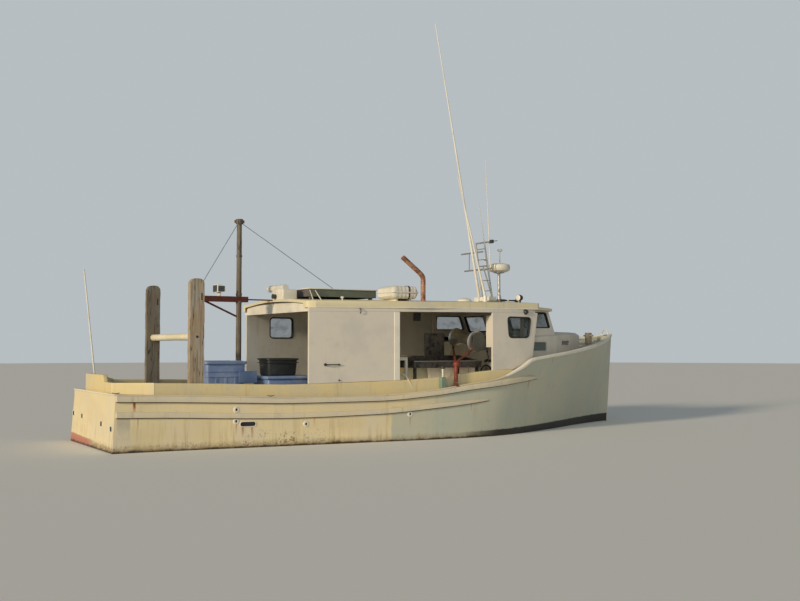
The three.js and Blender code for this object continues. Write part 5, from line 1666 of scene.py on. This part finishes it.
@dataclass
class Hauler:
    """The net hauler: a deck stand with two arms and the spool that turns between them.

    Attributes:
        x: Place of the spool's axis.
        z: Its height at the near flange.
        rise: How much it rises for each metre inboard.
        near: Place of the near flange.
        far: Place of the far flange.
        stand: Foot of the stand.
        root: Where the arms part.
    """

    x: float = 6.86
    z: float = 1.768
    rise: float = 0.13
    near: float = -1.50
    far: float = -0.82
    stand: tuple[float, float] = (6.12, -1.885)
    root: tuple[float, float, float] = (6.20, -1.76, 1.375)

    def axis(self, y: float) -> tuple[float, float, float]:
        """A point on the spool's axis, which rises inboard."""
        return (self.x, y, self.z + (y - self.near) * self.rise)

    def arm(self, y: float, ahead: float, above: float) -> Form:
        """An arm from the root by way of an elbow to a bearing.

        Args:
            y: Place of the bearing across the boat.
            ahead: How far the elbow lies ahead of the axis.
            above: How far it lies above the axis.
        """
        root = np.array(self.root)
        elbow = np.array([self.x + ahead, y, self.axis(y)[2] + above])
        last = np.array(self.axis(y)) - elbow
        hub = np.array(self.axis(y)) - 0.03 * last / np.linalg.norm(last)
        reach = elbow - root
        path = spline([root, root + 0.5 * reach, root + 0.88 * reach, elbow + 0.2 * last, hub], 8)
        return tube(path, np.interp(np.linspace(0, 1, len(path)), [0, 0.6, 1], [0.022, 0.020, 0.024]), 14)

    def build_stand(self, yard: Yard) -> None:
        """The stand with its arms, and the guard plate before the near flange, whose dark grey is partly
        painted shade.
        """
        near, far = self.near - 0.07, self.far + 0.07
        rim = [[0.042, -0.022], [0.047, -0.016], [0.047, 0.016], [0.042, 0.022]]
        bearing = turned([[0.019, -0.022], *rim, [0.019, 0.022]], 28)
        parts = []
        for y, ahead, above in ((near, -0.17, -0.16), (far, -0.02, -0.245)):
            parts += [self.arm(y, ahead, above), bearing.aimed(self.axis(y), (0, 1, self.rise))]
        foot = turned([[0.038, 0], [0.075, 0.0], [0.075, 0.014], [0.045, 0.02], [0.038, 0.06]], 24)
        motor = turned([[0, 0], [0.05, 0], [0.05, 0.09], [0.035, 0.11], [0, 0.11]], 20)
        parts += [
            bar((*self.stand, 1.02), (*self.stand, 1.33), 0.038, 0.036, 20),
            foot.moved(*self.stand, 0.948),
            ball((6.15, -1.85, 1.345), 0.062, 20),
            bar((*self.stand, 1.33), self.root, 0.04, 0.032, 18),
            motor.aimed((6.2, -1.80, 1.30), (0.4, 0.3, 0.5)),
        ]
        yard.place("hauler_arms", parts, Palette.RED_STEEL, ("hauler_stand",))
        # The guard plate covers the near flange's face; its dark grey stands for the shade on that face as well
        # as dirt.
        bow = np.linspace(0.1, 0.93, 14) * math.pi
        crown = np.stack([self.x - 0.02 + 0.13 * np.cos(bow), self.z + 0.06 + 0.12 * np.sin(bow)], axis=-1)
        foot = [[self.x - 0.15, 1.60], [self.x + 0.2, 1.60], [self.x + 0.2, 1.635]]
        guard = [slab(np.concatenate([foot, crown]), near - 0.044, near - 0.030, 1)]
        for x, z in ((-0.04, 1.76), (0.03, 1.78)):
            guard.append(bar((self.x + x, near - 0.032, z), (self.x + x, near, z), 0.011))
        yard.place("hauler_guard", guard, Palette.SHADED_PLATE, bevel=0.003)

    def build_spool(self, yard: Yard) -> None:
        """The spool, its axle and the bolts of its near face."""
        near_face = [
            [0.019, -0.03], [0.05, -0.03], [0.06, -0.022], [0.150, -0.016], [0.2, -0.012], [0.214, -0.002],
            [0.214, 0.006], [0.2, 0.012],
        ]
        barrel = [
            [0.160, 0.03], [0.138, 0.07], [0.112, 0.13], [0.102, 0.2], [0.100, 0.34],
            [0.102, 0.48], [0.112, 0.55], [0.138, 0.61], [0.150, 0.65],
        ]
        far_face = [
            [0.170, 0.668], [0.181, 0.678], [0.181, 0.686], [0.170, 0.692],
            [0.06, 0.70], [0.05, 0.71], [0.019, 0.71],
        ]
        spool = turned([*near_face, *barrel, *far_face], 64)
        spool = Form(spool.points * np.array([1, 1, math.hypot(1, self.rise)]), spool.faces)
        spool = spool.aimed(self.axis(self.near), (0, 1, self.rise))
        yard.place("hauler_spool", spool, Palette.DRUM, ("hauler_drum",), Body.DRUM, sharp=40)
        axle = bar(self.axis(self.near - 0.098), self.axis(self.far + 0.098), 0.0175, sides=20)
        yard.place("hauler_axle", axle, Palette.DRUM, body=Body.DRUM)
        bolt = turned([[0, 0], [0.009, 0], [0.009, 0.006], [0, 0.008]], 6)
        face = np.array(self.axis(self.near - 0.024))
        spots = [face + np.array([ahead, 0, above]) for ahead, above in circle(6, 0.085)]
        bolts = [bolt.aimed(spot, (0, -1, -self.rise)) for spot in spots]
        yard.place("hauler_bolts", bolts, Palette.DRUM, body=Body.DRUM)

    def build(self, yard: Yard) -> None:
        """Builds the stand and the spool."""
        self.build_stand(yard)
        self.build_spool(yard)


@dataclass
class WorkDeck:
    """The picking table, the bench, the rail roller, the engine and its hatch."""

    lines: Lines

    def build_bench(self, yard: Yard) -> None:
        """The table's rails and the bench."""
        rails = [bar((5.46, y, z), (6.98, y, z), 0.012) for y, z in ((-1.5, 1.40), (-0.76, 1.50))]
        yard.place("table_rails", rails, Palette.DRUM)
        top = [block(4.70, 5.42, y, y + 0.176, 1.488, 1.52) for y in (-1.44, -1.26, -1.08)]
        yard.place("bench_planks", top, Palette.PLANK, ("bench",), bevel=0.005)
        legs = [block(x, x + 0.045, y, y + 0.045, 0.3005, 1.49) for x in (4.74, 5.335) for y in (-1.40, -0.98)]
        frame = [block(4.74, 5.38, y, y + 0.03, 1.42, 1.487) for y in (-1.39, -0.97)]
        yard.place("bench_frame", [*legs, *frame], Palette.TRIM, bevel=0.004)

    def build_rail_roller(self, yard: Yard) -> None:
        """The roller on the rail below the hauler: foot, rod and head."""
        x, y = 5.845, -1.86
        foot = block(5.797, 5.893, -1.90, -1.81, float(self.lines.sheer(5.9)) + 0.001, 1.12)
        yard.place("rail_roller_foot", foot, Palette.TEAL, ("rail_roller",), bevel=0.01)
        yard.place("rail_roller_rod", bar((x, y, 1.11), (x, y, 1.275), 0.018), Palette.GLOSS)
        head = [[0, 0], [0.03, 0.0], [0.036, 0.01], [0.032, 0.025], [0.036, 0.04], [0.03, 0.05], [0, 0.052]]
        yard.place("rail_roller_head", turned(head, 24).moved(x, y, 1.268), Palette.BLACK)

    def build_engine(self, yard: Yard) -> None:
        """The hatch with its treads, and the engine below it."""
        yard.refine("engine_hatch", Palette.INSIDE, 0.008, Body.ENGINE_LID)
        treads = [block(x, x + 0.03, -0.42, 0.42, 0.34, 0.346) for x in np.linspace(5.32, 6.55, 12)]
        yard.place("engine_hatch_treads", treads, Palette.INSIDE, body=Body.ENGINE_LID, bevel=0.002)
        filter_bowl = turned([[0, 0], [0.09, 0], [0.10, 0.02], [0.10, 0.2], [0.08, 0.23], [0, 0.23]], 24)
        engine = [
            block(5.40, 6.50, -0.26, 0.26, -0.418, 0.02),
            block(5.5, 6.42, -0.14, 0.14, 0.0, 0.15),
            *[block(x, x + 0.1, -0.10, 0.10, 0.14, 0.2) for x in np.linspace(5.56, 6.26, 6)],
            bar((5.5, -0.25, -0.05), (6.42, -0.25, -0.05), 0.06),
            filter_bowl.aimed((5.8, 0.20, -0.03), (0, 0, 1)),
        ]
        yard.place("engine_block", engine, Palette.IRON, ("engine",), bevel=0.012)

    def build(self, yard: Yard) -> None:
        """Builds the deck's furniture."""
        yard.refine("picking_table", Palette.TABLE, 0.004)
        self.build_bench(yard)
        self.build_rail_roller(yard)
        self.build_engine(yard)
        strap = spline([(5.08, -1.60, 1.15), (5.12, -1.71, 1.17), (5.2, -1.74, 1.05), (5.28, -1.735, 0.9)], 6)
        yard.place("yellow_grab_strap", carried(strap, rounded(0.03, 0.006, 0.0028), UP), Palette.ROLLER)


@dataclass
class RoofGear:
    """What stands on the roof.

    Attributes:
        exhaust: Place of the exhaust's foot.
        radar: Place of the radar's pole.
        low: Height of the aerial mast's foot.
        high: Height of its head.
    """

    exhaust: tuple[float, float] = (5.55, -1.66)
    radar: tuple[float, float] = (8.01, -0.70)
    low: float = 2.59
    high: float = 3.78

    def build_rack(self, yard: Yard) -> None:
        """The rack with its rim and braces, and a sheet on its aft end coloured dark as painted shade."""
        yard.refine("roof_rack", Palette.RACK, 0.004)
        rim = rounded(1.43, 1.256, 0.02, 2) + np.array([4.455, 0])
        yard.place("rack_rim", hoop(rim, 2.735, 0.034, 0.016, 0.005), Palette.TRIM)
        # The sheet on the rack's aft face carries painted shade, the shade that falls there behind the locker.
        sheet = slab(rounded(1.23, 0.13, 0.01) + np.array([0, 2.662]), 3.744, 3.7495, 0)
        yard.place("rack_end_painted_shade", sheet, Palette.RACK_END_SHADE)
        braces = [bar((a, -0.619, 2.70), (b, -1.45, 2.476), 0.010) for a, b in ((3.765, 3.42), (3.875, 3.58))]
        yard.place("rack_braces", braces, Palette.TRIM)

    def build_exhaust(self, yard: Yard) -> None:
        """The exhaust, bent aft above its collar."""
        x, y = self.exhaust
        bends = ((x, 2.49), (x, 2.72), (x, 2.89), (5.535, 2.955), (5.47, 3.02), (5.30, 3.148), (5.112, 3.288))
        pipe = tube(spline([(ahead, y, z) for ahead, z in bends], 8), 0.045, 24)
        collar = turned([[0.046, 0], [0.08, 0], [0.08, 0.012], [0.054, 0.024], [0.046, 0.024]], 28)
        yard.place("exhaust_pipe", [pipe, collar.moved(x, y, 2.487)], Palette.RUST, ("exhaust_stack",))

    def build_raft(self, yard: Yard) -> None:
        """The life-raft canister: a ribbed shell with a seam, a strap and a cradle."""
        middle, half, y, z = 5.28, 0.28, -1.2, 2.665
        x = np.linspace(5.0, 5.56, 29)
        share = np.abs(x - middle) / half
        draw = 0.045 * fade(share, 0.8, 1.0) + 0.006 * (np.sin(x * TAU / 0.08) > 0.3) * (share < 0.8)
        loops = rounded(0.585, 0.236, 0.07, 6) * (1 - draw[:, None, None] / np.array([0.29, 0.118]))
        rows = xyz(x[:, None], y + loops[..., 0], z + loops[..., 1])
        yard.place("raft_shell", shell(rows), Palette.GLOSS, ("raft_canister",), sharp=50)
        seam = rounded(0.575, 0.60, 0.06, 5) + np.array([middle, y])
        yard.place("raft_seam", hoop(seam, z, 0.016, 0.02, 0.004), Palette.GLOSS)
        loop = rounded(0.598, 0.248, 0.075, 6)
        path = xyz(5.36, y + loop[:, 0], z + loop[:, 1])
        strap = carried(path, rounded(0.004, 0.028, 0.0015), FORWARD, closed=True)
        yard.place("raft_strap", strap, Palette.BLACK)
        cradle = [block(a, a + 0.05, -1.40, -1.0, 2.505, 2.56) for a in (5.12, 5.4)]
        yard.place("raft_cradle", cradle, Palette.TRIM, bevel=0.004)

    def build_locker(self, yard: Yard) -> None:
        """The locker with the roll on it and the lamp on its aft side."""
        locker = moulded((0.29, 0.49, 0.225), 0.02).moved(3.455, -0.185, 2.497)
        yard.place("locker_box", locker, Palette.TRIM, ("roof_locker",))
        y = np.linspace(-0.43, 0.31, 40)
        roll = tube(xyz(3.37, y, 2.75 + wander(y, 0.004, 0.3)), 0.058 + wander(y, 0.004, 0.12), 20)
        yard.place("locker_roll", roll, Palette.GLOSS)
        lamp = turned([[0.038, 0], [0.04, 0.02], [0.046, 0.08], [0.036, 0.078], [0, 0.07]], 24)
        yard.place("locker_lamp", lamp.aimed((3.32, -0.13, 2.594), (-1, 0, 0)), Palette.BLACK)

    def lean(self, z: float) -> float:
        """Place of the aerial mast at a height: it leans aft."""
        return 7.75 - 0.17 * (z - self.low)

    def build_mast(self, yard: Yard) -> None:
        """The ladder mast with its strut and crossbars, the clamp, the foot box and the lamp."""
        low, high = self.low, self.high
        feet, heads = np.array([-0.49, -0.83]), np.array([-0.536, -0.824])
        parts = [bar((self.lean(low), a, low), (self.lean(high), b, high), 0.0165) for a, b in zip(feet, heads)]
        for z in (2.8, 3.01, 3.22, 3.43, 3.64):
            a, b = feet + (heads - feet) * (z - low) / (high - low)
            parts.append(bar((self.lean(z), a, z), (self.lean(z), b, z), 0.009, sides=10))
        x = self.lean(3.3)
        parts.append(bar((7.88, -0.675, low), (x, -0.675, 3.3), 0.014))
        parts.append(bar((x, -0.826, 3.3), (x, -0.518, 3.3), 0.014))
        for z, a, b in ((3.24, -0.89, 0.02), (3.59, -0.70, 0.05), (3.765, -1.07, -0.53)):
            x = self.lean(z) + 0.024
            parts.append(bar((x, a, z), (x, b, z), 0.016))
        parts.append(block(7.64, 7.905, -0.86, -0.48, 2.56, 2.596))
        parts.append(bar((7.664, -0.142, 3.24), (7.604, -0.231, 3.59), 0.009, sides=10))
        yard.place("ladder_mast", parts, Palette.ALLOY, ("aerial_mast",))
        stalk = bar((x, -1.22, 3.765), (x, -1.06, 3.765), 0.007, sides=10)
        clamp = moulded((0.05, 0.09, 0.07), 0.01).moved(x, -1.04, 3.73)
        yard.place("mast_head_clamp", [stalk, clamp], Palette.BLACK)
        yard.place("mast_foot_box", moulded((0.16, 0.38, 0.09), 0.012).moved(7.745, -0.67, 2.592), Palette.TRIM)
        stem = bar((7.668, -0.742, 3.245), (7.67, -0.684, 3.425), 0.009, sides=10)
        yard.place("mast_white_lamp", [stem, ball((7.67, -0.684, 3.44), 0.035)], Palette.GLOSS)

    def build_whips(self, yard: Yard) -> None:
        """The two short whips on the mast, and the tall ones, which have a thicker joint halfway."""
        for name, foot, head, radius in (
            ("short_whip_outer", (7.668, -0.87, 3.245), (7.518, -0.92, 5.42), 0.012),
            ("short_whip_inner", (7.668, -0.784, 3.24), (7.459, -0.784, 4.54), 0.010),
        ):
            whip = tube(np.linspace(foot, head, 16), np.linspace(radius, 0.005, 16), 10)
            yard.place(name, whip, Palette.GLOSS)
        share = np.linspace(0, 1, 40)
        joint = 0.004 * np.exp(-((share - 0.52) ** 2) / 0.0004)
        box = moulded((0.16, 0.15, 0.12), 0.012).moved(7.69, -0.45, 2.562)
        cup = turned([[0.046, 0], [0.044, 0.05], [0.034, 0.15]], 20).moved(7.51, -0.90, 2.53)
        for name, node, foot, head, thick, tip, base in (
            ("tall_whip", "long_whip", (7.70, -0.45, 2.64), (6.63, -0.45, 8.17), 0.030, 0.009, box),
            ("middle_whip", "second_whip", (7.51, -0.90, 2.68), (6.86, -0.90, 5.01), 0.026, 0.008, cup),
        ):
            path = np.array(foot) + share[:, None] * (np.array(head) - np.array(foot))
            whip = tube(path, thick + (tip - thick) * share**0.8 + joint, 14)
            yard.place(name, [whip, base], Palette.GLOSS, (node,))

    def build_radar(self, yard: Yard) -> None:
        """The radome on its pole, with the small aerial on top."""
        x, y = self.radar
        angle = np.linspace(0, math.pi / 2, 10)
        crown = [[0.18 + 0.045 * math.cos(a), 0.12 + 0.045 * math.sin(a)] for a in angle[:-1]]
        belly = [[0, 0], [0.12, 0], [0.15, 0.006], [0.205, 0.03], [0.222, 0.055], [0.226, 0.075]]
        groove = [[0.222, 0.08], [0.226, 0.085], [0.225, 0.12]]
        dome = turned([*belly, *groove, *crown, [0.10, 0.182], [0, 0.19]], 48)
        yard.place("radar_dome", dome.moved(x, y, 3.185), Palette.GLOSS, ("radar",))
        plate = turned([[0.026, 0], [0.11, 0.02], [0.11, 0.03], [0.026, 0.034]], 24)
        pole = [
            bar((x, y, 2.56), (x, y, 3.19), 0.028, 0.026, 20),
            plate.moved(x, y, 3.155),
            block(7.93, 8.09, -0.78, -0.62, 2.555, 2.61),
        ]
        for dx, dy in ((0.06, 0), (-0.06, 0), (0, 0.06), (0, -0.06)):
            pole.append(bar((x + dx, y + dy, 2.61), (x + 0.4 * dx, y + 0.4 * dy, 2.74), 0.008, sides=8))
        yard.place("radar_pole", pole, Palette.ALLOY, bevel=0.002)
        finder = [bar((8.035, y, 3.36), (8.035, y, 3.62), 0.012), ball((8.035, y, 3.64), 0.054, 20, 0.6)]
        yard.place("position_aerial", finder, Palette.GLOSS)

    def build_search_lamp(self, yard: Yard) -> None:
        """The searchlight on its yoke, turned aft and a little outboard."""
        centre, aim = (8.06, -1.32, 2.642), (-1.0, -0.2, 0.0)
        back = [[0, -0.06], [0.03, -0.058], [0.05, -0.035], [0.06, 0.0]]
        case = turned([*back, [0.062, 0.045], [0.058, 0.06], [0, 0.055]], 32)
        yoke = bar((8.06, -1.32, 2.53), (8.06, -1.32, 2.60), 0.020)
        yard.place("search_lamp", [case.aimed(centre, aim), yoke], Palette.BLACK, ("searchlight",))
        lens = turned([[0, 0.054], [0.054, 0.054], [0.057, 0.060], [0.045, 0.066], [0, 0.070]], 32)
        yard.place("search_lamp_lens", lens.aimed(centre, aim), Palette.GLOSS)

    def build_small(self, yard: Yard) -> None:
        """The dome, the horn and a knob."""
        angle = np.linspace(0, math.pi / 2, 12)
        crown = [[0.155 * math.cos(a), 0.012 + 0.073 * math.sin(a)] for a in angle[:-1]]
        dome = turned([[0, 0], [0.165, 0.0], *crown, [0, 0.085]], 40)
        yard.place("compass_dome", dome.moved(7.20, -0.62, 2.563), Palette.GLOSS, ("roof_dome",))
        driver = [[0, 0], [0.022, 0.0], [0.024, 0.01], [0.021, 0.105], [0.015, 0.115]]
        bell = [[0.015, 0.30], [0.020, 0.345], [0.030, 0.38], [0.044, 0.405]]
        mouth = [[0.040, 0.405], [0.022, 0.35], [0, 0.34]]
        horn = turned([*driver, *bell, *mouth], 28)
        yard.place("trumpet_horn", horn.aimed((7.83, -1.0, 2.60), (1, 0, 0)), Palette.BLACK)
        clip = turned([[0.016, 0], [0.026, 0.002], [0.026, 0.028], [0.016, 0.03]], 24)
        feet = [bar((x, -1.0, 2.56), (x, -1.0, 2.592), 0.011) for x in (7.88, 8.0)]
        yard.place("horn_feet", [*feet, clip.aimed((7.985, -1.0, 2.60), (1, 0, 0))], Palette.GLOSS)
        knob = turned([[0.012, -0.02], [0.012, 0.02], [0.03, 0.03], [0.032, 0.05], [0, 0.062]], 16)
        yard.place("roof_knob", knob.moved(3.963, -1.5, 2.50), Palette.GLOSS)

    def build(self, yard: Yard) -> None:
        """Builds the roof's gear."""
        self.build_rack(yard)
        self.build_exhaust(yard)
        self.build_raft(yard)
        self.build_locker(yard)
        self.build_mast(yard)
        self.build_whips(yard)
        self.build_radar(yard)
        self.build_search_lamp(yard)
        self.build_small(yard)


@dataclass
class Bow:
    """The foredeck's fittings and the stern pole."""

    def build(self, yard: Yard) -> None:
        """Builds them."""
        yard.refine("bow_bitt", Palette.POST, 0.008)
        x, half, low = 11.54, 0.105, 1.935
        turn = np.linspace(0, math.pi, 25)
        arch = tube(xyz(x, half * np.cos(turn), low + 0.115 * np.sin(turn)), 0.014, 14)
        flange = turned([[0.014, 0], [0.028, 0], [0.028, 0.008], [0.016, 0.016]], 16)
        feet = [flange.moved(x, side * half, 1.922) for side in (-1, 1)]
        yard.place("bow_chock", [arch, *feet], Palette.GLOSS, ("bow_hoop",))
        yard.refine("foredeck_hatch", Palette.TRIM, 0.012, Body.FOREDECK_LID)
        path = np.linspace([0.30, 0.80, 0.893], [0.06, 0.80, 3.03], 30)
        pole = tube(path, np.linspace(0.0158, 0.0118, 30), 12)
        yard.place("stern_staff", pole, Palette.GLOSS, ("stern_pole",))


# The studio


@dataclass(frozen=True)
class Studio:
    """A pale floor at the water's level, soft light and the camera."""

    eye: tuple[float, float, float] = (-10.145, -17.07, 1.67)
    tilt: float = 92.64
    heading: float = -31.45
    lens: float = 45.13
    floor_reach: float = 90.0
    sky: float = 0.31
    backdrop: float = 0.80

    def build_floor(self, lines: Lines) -> None:
        """The floor is flat rings from the hull's waterline, drawn in by 15 mm, out to a wide circle."""
        x = np.linspace(0.02, 11.5, 90)
        half = np.clip(lines.skin(x, 0 * x) - 0.015, 0.004, None)
        shift = lines.setback(x, 0 * x)
        near = np.stack([x + shift, -half], axis=-1)
        loop = np.concatenate([near, (near * np.array([1, -1]))[::-1]]) + np.array([TRANSOM, 0])
        angle = np.arctan2(loop[:, 1], loop[:, 0])
        far = self.floor_reach * around(angle)
        rings = np.stack([loop, loop + 0.02 * (far - loop), far])
        points = np.concatenate([rings.reshape(-1, 2), np.zeros((3 * len(loop), 1))], axis=1)
        index = np.arange(3 * len(loop)).reshape(3, -1)
        ahead = np.roll(index, -1, axis=1)
        mesh = bpy.data.meshes.new("floor")
        mesh.from_pydata(points.tolist(), [], quads(index[:-1], index[1:], ahead[1:], ahead[:-1]).tolist())
        floor = linked("floor", mesh)
        graph = Graph("floor_paper")
        graph.feed("Base Color", (234, 234, 230))
        graph.feed("Roughness", 0.9)
        mesh.materials.append(graph.material)

    def lamp(
        self, name: str, energy: float, spread: float, colour: Colour, tilt: float, heading: float
    ) -> None:
        """A sun lamp.

        Args:
            name: Its name.
            energy: Its strength.
            spread: How wide it is, in degrees.
            colour: Its colour.
            tilt: How far it is turned up from straight down, in degrees.
            heading: Its turn about the vertical, in degrees.
        """
        sun = bpy.data.lights.new(name, "SUN")
        sun.energy = energy
        sun.angle = math.radians(spread)
        sun.color = linear(colour)[:3]
        linked(name, sun).rotation_euler = (math.radians(tilt), 0, math.radians(heading))

    def build(self, lines: Lines) -> None:
        """Sets up the floor, the light and the camera."""
        self.build_floor(lines)
        scene = bpy.context.scene
        scene.view_settings.view_transform = "Standard"
        world = bpy.data.worlds.new("sky")
        world.use_nodes = True
        tree = world.node_tree
        backdrop = tree.nodes["Background"]
        backdrop.inputs["Color"].default_value = linear((202, 210, 214))
        seen = tree.nodes.new("ShaderNodeLightPath")
        strength = tree.nodes.new("ShaderNodeMath")
        strength.operation = "MULTIPLY_ADD"
        strength.inputs[1].default_value = self.backdrop - self.sky
        strength.inputs[2].default_value = self.sky
        tree.links.new(seen.outputs["Is Camera Ray"], strength.inputs[0])
        tree.links.new(strength.outputs[0], backdrop.inputs["Strength"])
        scene.world = world
        self.lamp("key", 2.4, 7, (255, 236, 206), 75, -76)
        self.lamp("fill", 0.86, 60, (226, 232, 238), 77, -35)
        camera = bpy.data.cameras.new("camera")
        camera.lens = self.lens
        camera.sensor_width = 36
        camera.clip_end = 500
        scene.camera = linked("camera", camera)
        scene.camera.location = self.eye
        scene.camera.rotation_euler = (math.radians(self.tilt), 0, math.radians(self.heading))


def main() -> None:
    """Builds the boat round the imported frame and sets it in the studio."""
    logging.basicConfig(level=logging.INFO, format="%(message)s")
    yard = Yard(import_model())
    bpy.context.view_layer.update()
    lines = Lines()
    Studio().build(lines)
    deck_gear = (Gallows(), Derrick(), Tub(), Boxes(), Hauler(), WorkDeck(lines))
    for part in (Hull(lines), Wheelhouse(lines), *deck_gear, RoofGear(), Bow()):
        part.build(yard)
        LOG.info("%s is built", type(part).__name__)


if __name__ == "__main__":
    main()
